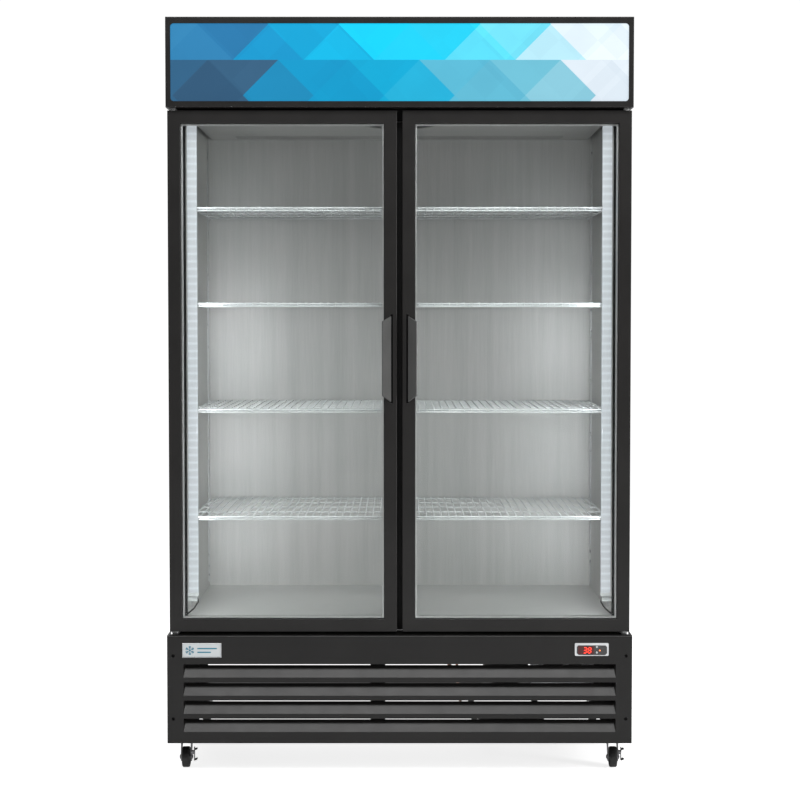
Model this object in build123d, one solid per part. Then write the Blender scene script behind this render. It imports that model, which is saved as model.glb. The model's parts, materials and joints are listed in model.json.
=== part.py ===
"""Glass door merchandiser: a free-standing two-door refrigerated display cabinet.

Millimetres. +Z is up, the doors face -Y, +X is to the viewer's right. The origin is on the
floor under the centre of the bounding box. While a piece is drawn, its y is its depth behind
the front of the header, and place() moves it into the origin's frame at the end.
"""
from build123d import *
import math
import os

# ---- driving dimensions -------------------------------------------------------------------
WIDTH = 1240.0            # over the lower front panel
DEPTH = 735.0             # from the handle tips to the back panel
HEIGHT = 2010.0
HANDLE_AHEAD = 8.0        # handle tip, in front of the header's front face

CABINET_HALF = 615.0      # half width of the cabinet and of the pair of doors
SKIN = 1.0                # outer sheet metal
SHEET = 1.5               # folded front parts
LINER = 1.2               # inner sheet metal
CABINET_FRONT = 77.0      # depth of the face that the gaskets close on
CABINET_BACK = DEPTH - HANDLE_AHEAD
CABINET_BOTTOM = 376.0
FRAME_TOP = 112.0         # top of the base rails
FRAME_BOTTOM = 84.0

LINER_HALF = 573.0        # half width over the liner
LINER_BACK = 668.0        # depth of the inner back wall
FLOOR = 415.0             # inner floor
CEILING = 1742.0          # top of the door opening
LOFT_TOP = 1930.0         # top of the evaporator space
LOFT_FRONT = 120.0
OPENING_BOTTOM = 402.0
OPENING_TOP = CEILING + LINER

MULLION_HALF = 38.0
MULLION_BACK = 112.0

HEADER_HALF = 617.0
HEADER_BOTTOM = 1773.0
SIGN_HALF = 603.5
SIGN_Z = (1789.0, 1992.6)

DOOR_GAP_HALF = 7.2       # half the gap between the two doors
DOOR_Z = (380.5, 1766.6)
DOOR_FRONT = 20.0
DOOR_THICK = 45.0
DOOR_RAIL = 33.0          # visible width of the door frame
GLASS_POCKET = 20.0
PANE = 4.0
GLASS_Y = (28.0, 52.0)    # outer faces of the sealed unit
SPACER_SHOWS = 7.0        # spacer seen inside the door frame
GASKET_WIDTH = 18.0
GASKET_Y = (65.0, 76.5)
GASKET_X = (10.2, 600.0)
GASKET_Z = (384.5, 1762.6)
HINGE_X = 601.0
HINGE_Y = 42.0
PIN_R = 5.0
RUN_GAP = 0.05            # radial clearance of every pin and shaft

HANDLE_Z = (991.0, 1229.0)
HANDLE_ROOT_Z = (995.5, 1222.5)
HANDLE_TIP_Z = (1014.0, 1208.0)
GROOVE_X = (19.4, 24.8)

PANEL_Z = (83.3, 373.1)
LOUVRE_COUNT = 4
LOUVRE_PITCH = 48.8
LOUVRE_FIRST_Z = 111.3    # lower edge of the lowest louvre
LOUVRE_HALF = 577.0
LOUVRE_DEPTH = 20.0
LOUVRE_RISE = 32.6        # height of the sloping blade
LOUVRE_HEIGHT = 38.9      # blade and slot together
LOUVRE_MITRE = 5.0          # lean of each end wall over the louvre's depth
LOUVRE_WALL = 1.2
PANEL_SCREW_X = 604.0
PANEL_SCREW_Z = (148.7, 318.0)

SHELF_Z = (682.0, 974.0, 1261.0, 1520.0)   # top of each pair of shelves
SHELF_X = (10.0, 564.0)
SHELF_Y = (120.0, 655.0)
SHELF_BAR = 5.0
SHELF_WIRE = 3.0
SHELF_THICK = 7.0
SHELF_DROP = 13.0         # bottom of the second front rail, below the top of the shelf
SHELF_WIRES = 26
PILASTER_Z = (430.0, 1735.0)
PILASTER_WIDTH = 20.0
PILASTER_SLOT_PITCH = 25.4
SIDE_PILASTER_Y = (150.0, 640.0)

LED_X = (543.0, 571.8)
LED_Y = (84.0, 106.0)
LED_Z = (478.0, 1741.0)

SWITCH_Z = {"power": 1876.0, "light": 1930.0}
SWITCH_Y = 38.0
ROCKER_PIVOT_X = 612.0
ROCKER_REST_DEG = -10.0
ROCKER_PIN_R = 1.2

CONTROL_X = (467.0, 557.0)
CONTROL_Z = (319.0, 353.0)
CONTROL_CUT_X = (476.5, 547.5)
CONTROL_CUT_Z = (321.5, 350.5)
BUTTON_X = 525.5
BUTTON_Z = {"set": 343.0, "defrost": 328.0}
BUTTON_R = 2.7
PLATE_X = (-579.0, -475.0)
PLATE_Z = (314.0, 352.5)

CASTER_X = 579.0
CASTER_Y = {"front": 105.0, "rear": 655.0}   # swivel axes
CASTER_TRAIL = 20.0
WHEEL_R = 28.0
WHEEL_HALF = 10.0
AXLE_R = 4.0
KINGPIN_R = 6.0
BRAKE_X = 19.0            # brake pivot, from the wheel's middle plane
BRAKE_Z = 40.0

CONDENSER_X = (392.0, 578.0)
CONDENSER_Z = (118.0, 344.0)
CONDENSER_FAN = (485.0, 231.0)
COMPRESSOR = (318.0, 638.0)
PAN_X = (221.0, 389.0)
PAN_Y = (165.0, 300.0)
EVAPORATOR_FAN_Y = 250.0
CHASE_X = (136.0, 184.0)  # channel for the pipes in the rear wall
CHASE_Y = (682.0, 714.0)
CHASE_TOP = 1838.0


# ---- helpers ------------------------------------------------------------------------------
def block(x, y, z):
    """A box from three (low, high) pairs."""
    size = [b - a for a, b in (x, y, z)]
    centre = [(a + b) / 2 for a, b in (x, y, z)]
    return Pos(*centre) * Box(*size)


def wide(half, y, z):
    """A box centred on the middle plane."""
    return block((-half, half), y, z)


def rod(centre, radius, length, axis):
    """A cylinder about its centre, along axis X, Y or Z."""
    turn = {"X": Rot(0, 90, 0), "Y": Rot(90, 0, 0), "Z": Rot(0, 0, 0)}[axis]
    return Pos(*centre) * turn * Cylinder(radius, length)


def prism(points, plane, start, length):
    """A closed outline on a plane through start, pushed length along the plane's normal."""
    face = make_face(Polyline(*points, close=True))
    return extrude(plane.offset(start) * face, length)


def mirrored(shape):
    return mirror(shape, about=Plane.YZ)


def both(shape):
    return [shape, mirrored(shape)]


def ring(x, z, y, width):
    """A rectangular frame standing in the XZ plane."""
    hole = block((x[0] + width, x[1] - width), y, (z[0] + width, z[1] - width))
    return block(x, y, z) - hole


def tube(points, radii, outer):
    """A round bar along straight runs joined by tangent arcs."""
    path = FilletPolyline(*points, radius=radii)
    section = Plane(origin=path @ 0, z_dir=path % 0) * Circle(outer)
    return sweep(section, path=path)


# ---- cabinet ------------------------------------------------------------------------------
def left_side_panel():
    top = HEIGHT - SKIN
    depth = (CABINET_FRONT + SHEET, CABINET_BACK - SKIN)
    web = block((-CABINET_HALF, -CABINET_HALF + SKIN), depth, (90, top))
    inner = -CABINET_HALF + SKIN
    front = block((inner, inner + 24), (CABINET_FRONT + SHEET, CABINET_FRONT + SHEET + SKIN),
                  (CABINET_BOTTOM, top))
    rear = block((inner, inner + 20), (CABINET_BACK - 2 * SKIN, CABINET_BACK - SKIN), (90, top))
    return web + [front, rear]


def top_panel():
    return wide(CABINET_HALF, (CABINET_FRONT + SHEET, CABINET_BACK - SKIN), (HEIGHT - SKIN, HEIGHT))


def back_panel():
    sheet = wide(CABINET_HALF - 3, (CABINET_BACK - SKIN, CABINET_BACK), (CABINET_BOTTOM, HEIGHT - 2))
    ribs = [wide(520, (CABINET_BACK - 0.2, CABINET_BACK), (z, z + 40)) for z in (700, 1200, 1700)]
    return sheet - ribs


def liner_outer():
    main = wide(LINER_HALF, (80, LINER_BACK + LINER), (FLOOR - LINER, OPENING_TOP))
    loft = wide(LINER_HALF, (LOFT_FRONT, LINER_BACK + LINER), (OPENING_TOP, LOFT_TOP + LINER))
    return main + loft


def inner_liner():
    half = LINER_HALF - LINER
    main = wide(half, (79, LINER_BACK), (FLOOR, CEILING))
    loft = wide(half, (LOFT_FRONT + LINER, LINER_BACK), (CEILING - 1, LOFT_TOP))
    lip = wide(LINER_HALF, (80, 80 + LINER), (OPENING_BOTTOM + 1, FLOOR - LINER))
    pipes = block(CHASE_X, (LINER_BACK - 1, LINER_BACK + LINER + 1), (CHASE_TOP - 38, CHASE_TOP))
    return liner_outer() - [main, loft, pipes] + lip


def foam_insulation():
    side = CABINET_HALF - SKIN
    depth = (CABINET_FRONT + SHEET + SKIN, CABINET_BACK - 2 * SKIN)
    body = wide(side, depth, (CABINET_BOTTOM, HEIGHT - SKIN))
    front = wide(LINER_HALF + SHEET, (CABINET_FRONT, 96), (OPENING_BOTTOM - SHEET, OPENING_TOP + SHEET))
    riser = block(CHASE_X, CHASE_Y, (CABINET_BOTTOM, CHASE_TOP))
    neck = block(CHASE_X, (LINER_BACK, CHASE_Y[1]), (CHASE_TOP - 38, CHASE_TOP))
    return body - [liner_outer(), front, riser, neck]


def front_frame():
    half = LINER_HALF
    z = (OPENING_BOTTOM, OPENING_TOP)
    plate = wide(CABINET_HALF, (CABINET_FRONT, CABINET_FRONT + SHEET), (CABINET_BOTTOM, HEIGHT))
    lip = wide(half + SHEET, (CABINET_FRONT, 96), (z[0] - SHEET, z[1] + SHEET))
    return plate + lip - wide(half, (CABINET_FRONT - 1, 97), z)


def centre_mullion():
    y = (CABINET_FRONT, MULLION_BACK)
    tube_out = wide(MULLION_HALF, y, (FLOOR, CEILING))
    tube_in = wide(MULLION_HALF - SHEET, (y[0] + SHEET, y[1] - SHEET), (FLOOR - 1, CEILING + 1))
    skirt = wide(MULLION_HALF, (y[0], y[0] + SHEET), (OPENING_BOTTOM, FLOOR))
    return tube_out - tube_in + skirt


def base_frame():
    z = (FRAME_BOTTOM, FRAME_TOP)
    half, front, back = 612.0, 30.0, 722.0
    wall = 2.0
    rail = 45.0
    rails = wide(half, (front, back), z)
    core = wide(half - rail, (front + 35, back - 30), z)
    groove = wide(half - wall, (front + wall, back - wall), (z[0] + wall, z[1] - wall))
    frame = rails - [core, groove]
    posts = []
    for side in (-1, 1):
        outer = sorted((side * half, side * (half - wall)))
        corner = sorted((side * half, side * (half - 28)))
        lug = sorted((side * half, side * (half - 18)))
        plate = sorted((side * half, side * 522))
        for y in ((80, 110), (692, 722)):
            web_y = (y[0], y[0] + wall) if y[0] < 400 else (y[1] - wall, y[1])
            posts.append(block(outer, y, (z[0], CABINET_BOTTOM - SKIN)))
            posts.append(block(corner, web_y, (z[0], CABINET_BOTTOM - SKIN)))
        posts.append(block(outer, (3, 54), (z[0] + 4, 360)))
        posts.append(block(lug, (3, 5), (z[0] + 4, 360)))
        for y in CASTER_Y.values():
            posts.append(block(plate, (y - 50, y + 50), (z[0], z[0] + 3)))
    centre_post = block((-79, -39), (82, 112), (z[0], CABINET_BOTTOM - SKIN))
    centre_void = block((-77, -41), (84, 113), (z[0] + 2, CABINET_BOTTOM - SKIN + 1))
    post = centre_post - centre_void
    foot = block((-79, -39), (60, 112), (z[0], z[0] + wall))
    deck = wide(half, (80, 724), (CABINET_BOTTOM - SKIN, CABINET_BOTTOM))
    deck -= block(CHASE_X, CHASE_Y, (CABINET_BOTTOM - 2, CABINET_BOTTOM + 1))
    bars = [block(x, (front + 30, back - 25), (z[0], z[0] + 4)) for x in ((203, 220), (390, 408))]
    tray = block((240, half - wall), (552, back - 20), (z[1] - wall, z[1]))
    lugs = [block((PAN_X[0] - 4, PAN_X[0] + 8), (y, y + 12), (z[0], z[0] + 4)) for y in (180, 270)]
    lugs += [block((PAN_X[1] - 8, PAN_X[1] + 4), (y, y + 12), (z[0], z[0] + 4)) for y in (180, 270)]
    screw_holes = [rod((s * PANEL_SCREW_X, 4, h), 2.1, 20, "Y") for s in (-1, 1) for h in PANEL_SCREW_Z]
    return frame + posts + [post, foot, deck, tray] + bars + lugs - screw_holes


# ---- header -------------------------------------------------------------------------------
def switch_body(z):
    body = block((596, HEADER_HALF), (SWITCH_Y - 6.4, SWITCH_Y + 6.4), (z - 9.9, z + 9.9))
    bezel = block((HEADER_HALF, HEADER_HALF + SHEET), (SWITCH_Y - 7.6, SWITCH_Y + 7.6), (z - 11.2, z + 11.2))
    return body, bezel


def header_housing():
    z = (HEADER_BOTTOM, HEIGHT)
    shell = wide(HEADER_HALF, (0, CABINET_FRONT), z)
    edges = shell.edges().filter_by(Axis.X).group_by(Axis.Y)[0]
    edges = edges + shell.edges().filter_by(Axis.Z).group_by(Axis.Y)[0]
    shell = fillet(edges, 2.5)
    cavity = wide(HEADER_HALF - SHEET, (3, CABINET_FRONT - SHEET), (z[0] + SHEET, z[1] - SHEET))
    window = wide(SIGN_HALF, (-1, 4), SIGN_Z)
    window = fillet(window.edges().filter_by(Axis.Y), 9)
    cuts = [switch_body(h)[0] for h in SWITCH_Z.values()]
    return shell - [cavity, window] - cuts


def sign_panel():
    sheet = wide(610, (3, 6), (SIGN_Z[0] - 7, SIGN_Z[1] + 7))
    return fillet(sheet.edges().filter_by(Axis.Y), 6)


def led_light_bars():
    x, y = LED_X, LED_Y
    profile = [(x[1], y[0]), (x[1], y[1]), (x[1] - 8, y[1]), (x[0], y[0] + 8), (x[0], y[0])]
    bar = prism(profile, Plane.XY, LED_Z[0], LED_Z[1] - LED_Z[0])
    strips = [wide(590, (68, CABINET_FRONT - SHEET), (z, z + 14)) for z in (1835, 1930)]
    return Compound(both(bar) + strips)


def rocker_switch_frames():
    frames = []
    for z in SWITCH_Z.values():
        body, bezel = switch_body(z)
        well = block((603, 620), (SWITCH_Y - 5.4, SWITCH_Y + 5.4), (z - 9.3, z + 9.3))
        bearing = rod((ROCKER_PIVOT_X, SWITCH_Y, z), ROCKER_PIN_R + RUN_GAP, 11.6, "Y")
        frames.append(body + bezel - [well, bearing])
    return Compound(frames)


def rocker(name):
    z = SWITCH_Z[name]
    dx = HEADER_HALF - ROCKER_PIVOT_X
    outline = [(-4, -5), (0, -7), (dx + 1.2, -8), (dx + 0.3, 0), (dx + 1.2, 8), (0, 7), (-4, 5)]
    paddle = prism(outline, Plane.XZ, -5.1, 10.2) + rod((0, 0, 0), ROCKER_PIN_R, 11.4, "Y")
    return Pos(ROCKER_PIVOT_X, SWITCH_Y, z) * Rot(0, ROCKER_REST_DEG, 0) * paddle


# ---- lower front --------------------------------------------------------------------------
def louvre_wedge(z, half, shift):
    """The solid shape of one pressed louvre: leaning ends, blade rising rearwards."""
    wedge = Wedge(2 * half, LOUVRE_DEPTH, LOUVRE_HEIGHT, LOUVRE_MITRE, LOUVRE_RISE,
                  2 * half - LOUVRE_MITRE, LOUVRE_RISE + 0.6,
                  align=(Align.CENTER, Align.MIN, Align.MIN))
    return Pos(0, -shift, z) * wedge


def louvre_panel():
    half = WIDTH / 2
    z = PANEL_Z
    shell = wide(half, (0, 76), z)
    front_edges = shell.edges().filter_by(Axis.X).group_by(Axis.Y)[0].group_by(Axis.Z)[-1]
    shell = fillet(front_edges, 5)
    inside = wide(half - SHEET, (SHEET, 77), (z[0] + SHEET, z[1] - SHEET))
    panel = shell - [inside, wide(half - SHEET, (28, 80), (z[0] - 1, z[0] + 3))]
    panel = panel + wide(560, (76 - SHEET, 76), (z[1] - SHEET, CABINET_BOTTOM - 0.5))
    levels = [LOUVRE_FIRST_Z + i * LOUVRE_PITCH for i in range(LOUVRE_COUNT)]
    outer = LOUVRE_HALF + LOUVRE_WALL
    panel = panel + [louvre_wedge(h, outer, 0) for h in levels]
    panel = panel - [louvre_wedge(h, LOUVRE_HALF, 1.6) for h in levels]
    behind = (SHEET, LOUVRE_DEPTH + 1)
    slots = [wide(outer, behind, (h + LOUVRE_RISE, h + LOUVRE_HEIGHT + 1)) for h in levels]
    control = block(CONTROL_CUT_X, (-1, 3), CONTROL_CUT_Z)
    holes = [rod((s * PANEL_SCREW_X, 1, h), 2.1, 6, "Y") for s in (-1, 1) for h in PANEL_SCREW_Z]
    hinge_notch = [block(x, (22, 80), (z[1] - 4, z[1] + 1)) for x in ((-616, -586), (586, 616))]
    return panel - slots - [control] - holes - hinge_notch


def panel_screws():
    screws = []
    for side in (-1, 1):
        for z in PANEL_SCREW_Z:
            head = fillet(rod((side * PANEL_SCREW_X, -1.4, z), 4.5, 2.8, "Y").edges().sort_by(Axis.Y)[0], 1.3)
            socket = rod((side * PANEL_SCREW_X, -2.4, z), 1.8, 2, "Y")
            screws.append(head + rod((side * PANEL_SCREW_X, 5, z), 2.0, 10, "Y") - socket)
    return Compound(screws)


def name_plate():
    plate = block(PLATE_X, (-1.2, 0), PLATE_Z)
    return fillet(plate.edges().filter_by(Axis.Y), 2.5)


def temperature_controller():
    bezel = fillet(block(CONTROL_X, (-3, 0), CONTROL_Z).edges().filter_by(Axis.Y), 3)
    body = block(CONTROL_CUT_X, (0, 52), CONTROL_CUT_Z)
    window = block((475, 519), (-4, -2), (323, 349))
    wells = [rod((BUTTON_X, 0, z), BUTTON_R + 0.3, 6.2, "Y") for z in BUTTON_Z.values()]
    return bezel + body - [window] - wells


def button(name):
    cap = rod((BUTTON_X, -1.6, BUTTON_Z[name]), BUTTON_R, 4.8, "Y")
    return fillet(cap.edges().sort_by(Axis.Y)[0], 0.6)


# ---- doors --------------------------------------------------------------------------------
def hinge_bracket(low, high, pin_low, pin_high, leg):
    """A flat plate with an upright leg on the cabinet front, and the pin that the door turns on."""
    x = (590.0, 613.0)
    plate = block(x, (HINGE_Y - 15, CABINET_FRONT), (low, high))
    foot = block((604, 613), (74, CABINET_FRONT), leg)
    pin = block((HINGE_X - 1, HINGE_X + 1), (HINGE_Y - 1, HINGE_Y + 1), (low, high))
    pin = rod((HINGE_X, HINGE_Y, (pin_low + pin_high) / 2), PIN_R, pin_high - pin_low, "Z") + pin
    return plate + [foot, pin]


def hinge_brackets():
    top = hinge_bracket(HEADER_BOTTOM - 3, HEADER_BOTTOM, 1748, HEADER_BOTTOM - 1, (1735, HEADER_BOTTOM))
    low = PANEL_Z[1] + 0.2
    bottom = hinge_bracket(low, low + 2.5, low, 400, (low, 412))
    bush = Pos(HINGE_X, HINGE_Y, low + 2.5 + 2.2) * Cone(PIN_R + 0.2, 8, 4.4)
    return Compound(both(top) + both(bottom + bush))


def door_frame():
    x = (DOOR_GAP_HALF, CABINET_HALF)
    y = (DOOR_FRONT, DOOR_FRONT + DOOR_THICK)
    frame = ring(x, DOOR_Z, y, DOOR_RAIL)
    edges = frame.edges().filter_by(Axis.Z).group_by(Axis.Y)[0]
    outer = [e for e in edges if e.center().X < x[0] + 1 or e.center().X > x[1] - 1]
    frame = fillet(outer, 2.0)
    inset = DOOR_RAIL - GLASS_POCKET
    pocket = block((x[0] + inset, x[1] - inset), GLASS_Y, (DOOR_Z[0] + inset, DOOR_Z[1] - inset))
    groove = block(GROOVE_X, (DOOR_FRONT - 1, DOOR_FRONT + 6), HANDLE_Z)
    pins = [rod((HINGE_X, HINGE_Y, z), PIN_R + RUN_GAP, 45, "Z") for z in (DOOR_Z[0], DOOR_Z[1])]
    bush = Pos(HINGE_X, HINGE_Y, DOOR_Z[0]) * Cylinder(8.4, 1.2)
    return frame - [pocket, groove, bush] - pins


def door_glass_unit():
    inset = DOOR_RAIL - GLASS_POCKET + 0.2
    x = (DOOR_GAP_HALF + inset, CABINET_HALF - inset)
    z = (DOOR_Z[0] + inset, DOOR_Z[1] - inset)
    y = GLASS_Y
    panes = [block(x, (y[0], y[0] + PANE), z), block(x, (y[1] - PANE, y[1]), z)]
    width = GLASS_POCKET + SPACER_SHOWS - 10
    spacer_x = (x[0] + 9.8, x[1] - 9.8)
    spacer_z = (z[0] + 9.8, z[1] - 9.8)
    spacer = ring(spacer_x, spacer_z, (y[0] + PANE, y[1] - PANE), width)
    return Compound([panes[0], spacer, panes[1]])


def door_gasket():
    gasket = ring(GASKET_X, GASKET_Z, GASKET_Y, GASKET_WIDTH)
    groove_x = (GASKET_X[0] + 7, GASKET_X[1] - 7)
    groove_z = (GASKET_Z[0] + 7, GASKET_Z[1] - 7)
    groove = ring(groove_x, groove_z, (GASKET_Y[0], GASKET_Y[0] + 7), GASKET_WIDTH - 14)
    return gasket - groove


def door_handle():
    """A blade that leans forward and away from the free edge, its corners cut back."""
    root, floor = DOOR_FRONT, DOOR_FRONT + 6
    blade = [(GROOVE_X[0], floor), (GROOVE_X[0], floor - 2), (22.4, floor - 2), (22.4, root - 0.4),
             (44.6, -HANDLE_AHEAD), (47.0, -HANDLE_AHEAD + 1.6), (GROOVE_X[1], root),
             (GROOVE_X[1], floor)]
    solid = prism(blade, Plane.XY, HANDLE_Z[0], HANDLE_Z[1] - HANDLE_Z[0])
    low, high = zip(HANDLE_Z, HANDLE_ROOT_Z, HANDLE_TIP_Z)
    side = [(floor + 1, low[0]), (root + 0.5, low[0]), (root, low[1]), (-HANDLE_AHEAD - 1, low[2]),
            (-HANDLE_AHEAD - 1, high[2]), (root, high[1]), (root + 0.5, high[0]), (floor + 1, high[0])]
    outline = prism(side, Plane.YZ, 10, 40)
    handle = solid & outline
    return handle


# ---- shelves ------------------------------------------------------------------------------
def right_shelf(z):
    """A welded grid: a bar all round, wires from front to back and a second front rail."""
    bar_z = (z - SHELF_THICK, z - SHELF_WIRE + 1)
    x, y = SHELF_X, SHELF_Y
    hole = block((x[0] + SHELF_BAR, x[1] - SHELF_BAR), (y[0] + SHELF_BAR, y[1] - SHELF_BAR), bar_z)
    grid = block(x, y, bar_z) - hole
    pitch = (x[1] - x[0]) / (SHELF_WIRES + 1)
    wires = [block((x[0] + i * pitch - SHELF_WIRE / 2, x[0] + i * pitch + SHELF_WIRE / 2),
                   (y[0] + 1, y[1] - 1), (z - SHELF_WIRE, z)) for i in range(1, SHELF_WIRES + 1)]
    cross = [block((x[0] + 1, x[1] - 1), (c - 2.5, c + 2.5), bar_z) for c in (255, 388, 521)]
    rail_z = (z - SHELF_DROP, z - SHELF_DROP + 3)
    rail = block((x[0] + 20, x[1] - 20), (y[0], y[0] + 3), rail_z)
    ties = [block((c - 1.5, c + 1.5), (y[0], y[0] + 3), (rail_z[0], z - 4)) for c in (36, 170, 287, 404, 538)]
    return grid + wires + cross + [rail] + ties


def pilaster(x, y):
    strip = block(x, y, PILASTER_Z)
    across_x = x[1] - x[0] > y[1] - y[0]
    count = int((PILASTER_Z[1] - PILASTER_Z[0] - 20) / PILASTER_SLOT_PITCH)
    levels = [PILASTER_Z[0] + 16 + i * PILASTER_SLOT_PITCH for i in range(count + 1)]
    middle = (sum(x) / 2, sum(y) / 2)
    slots = []
    for z in levels:
        if across_x:
            slots.append(block((middle[0] - 4.5, middle[0] + 4.5), (y[0] - 1, y[1] + 1), (z - 2, z + 2)))
        else:
            slots.append(block((x[0] - 1, x[1] + 1), (middle[1] - 4.5, middle[1] + 4.5), (z - 2, z + 2)))
    return strip - slots


def shelf_pilasters():
    half = PILASTER_WIDTH / 2
    wall = LINER_HALF - LINER
    strips = [pilaster((-14, 14), (MULLION_BACK, MULLION_BACK + 3)),
              pilaster((-14, 14), (LINER_BACK - 3, LINER_BACK))]
    for y in SIDE_PILASTER_Y:
        strips += both(pilaster((wall - 3, wall), (y - half, y + half)))
    return Compound(strips)


def shelf_clips():
    """One angle under each shelf corner, hooked into a pilaster."""
    wall = LINER_HALF - LINER - 3
    clips = []
    for z in SHELF_Z:
        seat = (z - SHELF_THICK - 2, z - SHELF_THICK)
        leg = (z - SHELF_THICK - 12, z - SHELF_THICK)
        for y in SIDE_PILASTER_Y:
            along = (y - 8, y + 8)
            clip = block((wall - 12, wall), along, seat) + block((wall - 1.5, wall), along, leg)
            clips += both(clip)
        front = MULLION_BACK + 3
        rear = LINER_BACK - 3
        clips.append(wide(13.9, (front, front + 8), seat) + wide(13.9, (front, front + 1.5), leg))
        clips.append(wide(13.9, (rear - 13, rear), seat) + wide(13.9, (rear - 1.5, rear), leg))
    return Compound(clips)


# ---- refrigeration ------------------------------------------------------------------------
def compressor():
    x, y = COMPRESSOR
    shell = rod((x, y, 205), 68, 150, "Z")
    shell = fillet(shell.edges().filter_by(GeomType.CIRCLE), 30)
    seam = rod((x, y, 210), 70, 8, "Z")
    foot = block((x - 74, x + 66), (y - 62, y + 62), (FRAME_TOP + 10, FRAME_TOP + 13))
    neck = rod((x, y, 132), 40, 20, "Z")
    pads = [rod((x + dx, y + dy, FRAME_TOP + 5), 9, 10, "Z") for dx in (-66, 54) for dy in (-50, 50)]
    box = block((x - 74, x - 50), (y - 26, y + 26), (185, 245))
    return shell + [seam, foot, neck, box] + pads


def finned_block(x, y, z, count, depth):
    """A coil: parallel fins on a thin core, tube bends at the ends."""
    core = block(x, y, z)
    pitch = (x[1] - x[0] - 8) / count
    gap = pitch - 1.6
    starts = [x[0] + 5 + i * pitch for i in range(count)]
    slots = []
    for s in starts:
        slots.append(block((s, s + gap), (y[0] - 1, y[0] + depth), (z[0] - 1, z[1] + 1)))
        slots.append(block((s, s + gap), (y[1] - depth, y[1] + 1), (z[0] - 1, z[1] + 1)))
    return core - slots


def condenser_coil():
    coil = finned_block(CONDENSER_X, (640, 692), CONDENSER_Z, 18, 22)
    feet = block(CONDENSER_X, (640, 692), (FRAME_TOP, CONDENSER_Z[0]))
    return coil + (feet - block((400, 570), (650, 682), (FRAME_TOP - 1, CONDENSER_Z[0])))


def condenser_fan_shroud():
    y = (588.0, 639.0)
    x, z = CONDENSER_X, CONDENSER_Z
    cx, cz = CONDENSER_FAN
    box = block(x, y, (FRAME_TOP, z[1]))
    inside = block((x[0] + 1.5, x[1] - 1.5), (y[0] + 1.5, y[1] + 1), (z[0] + 1.5, z[1] - 1.5))
    hole = rod((cx, y[0], cz), 82, 20, "Y")
    strap = block(x, (y[0] - 2, y[0]), (cz - 6, cz + 6))
    motor = rod((cx, y[0] - 19, cz), 30, 34, "Y") + rod((cx, y[0] + 10, cz), 3.0, 34, "Y")
    return box - [inside, hole] + [strap, motor]


def fan(blades, radius, hub, height, bore):
    """A fan about Z: tilted blades on a hub."""
    body = Cylinder(hub, height)
    blade = Pos((radius + hub) / 2 - 2, 0, 0) * Rot(28, 0, 0) * Box(radius - hub + 4, 46, 1.6)
    limit = Cylinder(radius, height * 3)
    wheel = body + [Rot(0, 0, i * 360 / blades) * (blade & limit) for i in range(blades)]
    return wheel - Cylinder(bore, height * 3)


def condenser_fan():
    cx, cz = CONDENSER_FAN
    return Pos(cx, 609, cz) * Rot(90, 0, 0) * fan(5, 76, 20, 18, 3.0 + RUN_GAP)


def evaporator_coil():
    coil = finned_block((-290, 290), (400, 600), (1772, 1892), 30, 85)
    hangers = [block((x, x + 3), (420, 580), (1890, LOFT_TOP)) for x in (-290, 287)]
    return coil + hangers


def evaporator_cover():
    """A tray that closes the loft, with a guarded hole for the fan, and the fan motor on its strap."""
    half, y, z = 560.0, (124.0, 664.0), (CEILING + 8, LOFT_TOP)
    tray = wide(half, y, (z[0], z[0] + 1.2)) + wide(half, (y[0], y[0] + 1.2), z)
    tray += wide(half, (y[1] - 1.2, y[1]), (z[0], z[0] + 26))
    hole = rod((0, EVAPORATOR_FAN_Y, z[0]), 98, 10, "Z")
    returns = [wide(480, (c, c + 14), (z[0] - 1, z[0] + 3)) for c in (560, 590, 620)]
    guard = []
    for r in (30, 62, 95):
        guard.append(rod((0, EVAPORATOR_FAN_Y, z[0] + 0.6), r + 1.2, 1.2, "Z")
                     - rod((0, EVAPORATOR_FAN_Y, z[0] + 0.6), r - 1.2, 4, "Z"))
    bars = [Pos(0, EVAPORATOR_FAN_Y, z[0] + 0.6) * Rot(0, 0, a) * Box(200, 2.4, 1.2) for a in (0, 60, 120)]
    tray = tray - [hole] - returns + guard + bars
    motor = rod((0, EVAPORATOR_FAN_Y, 1825), 32, 50, "Z") + rod((0, EVAPORATOR_FAN_Y, 1790), 3.0, 40, "Z")
    strap = block((-14, 14), (EVAPORATOR_FAN_Y - 14, EVAPORATOR_FAN_Y + 14), (1848, LOFT_TOP))
    return Compound([tray, motor + strap])


def evaporator_fan():
    return Pos(0, EVAPORATOR_FAN_Y, 1780) * fan(5, 90, 22, 18, 3.0 + RUN_GAP)


def condensate_pan():
    z = (FRAME_BOTTOM + 4, FRAME_TOP)
    pan = block(PAN_X, PAN_Y, z)
    inner = [(PAN_X[0] + 1.5, PAN_X[1] - 1.5), (PAN_Y[0] + 1.5, PAN_Y[1] - 1.5), (z[0] + 1.5, z[1] + 1)]
    return pan - block(*inner)


def refrigerant_pipes():
    """Suction, liquid and discharge lines with the filter drier, and the drain to the pan."""
    x, y = COMPRESSOR
    back = sum(CHASE_Y) / 2
    suction = tube([(148, 601, 1819), (148, back, 1819), (148, back, 205), (148, y, 170), (x - 68.3, y, 170)],
                   [14, 20, 20], 5)
    capillary = tube([(160, 601, 1819), (160, back, 1819), (160, back, 300), (200, back, 280),
                      (236, back, 280)],
                     [14, 12, 12], 2)
    drier = Pos(246, back, 280) * Rot(0, 90, 0) * Cylinder(9, 20)
    drain = tube([(174, 601, 1810), (174, back, 1810), (174, back, 130), (174, 240, 118), (236, 240, 118),
                  (236, 240, 100)], [14, 40, 25, 8], 4)
    discharge = tube([(x, y, 280), (x, y, 300), (x, 668, 300), (CONDENSER_X[0], 668, 300)], [9, 12], 4)
    return Compound([suction, capillary + drier, drain, discharge])


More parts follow.
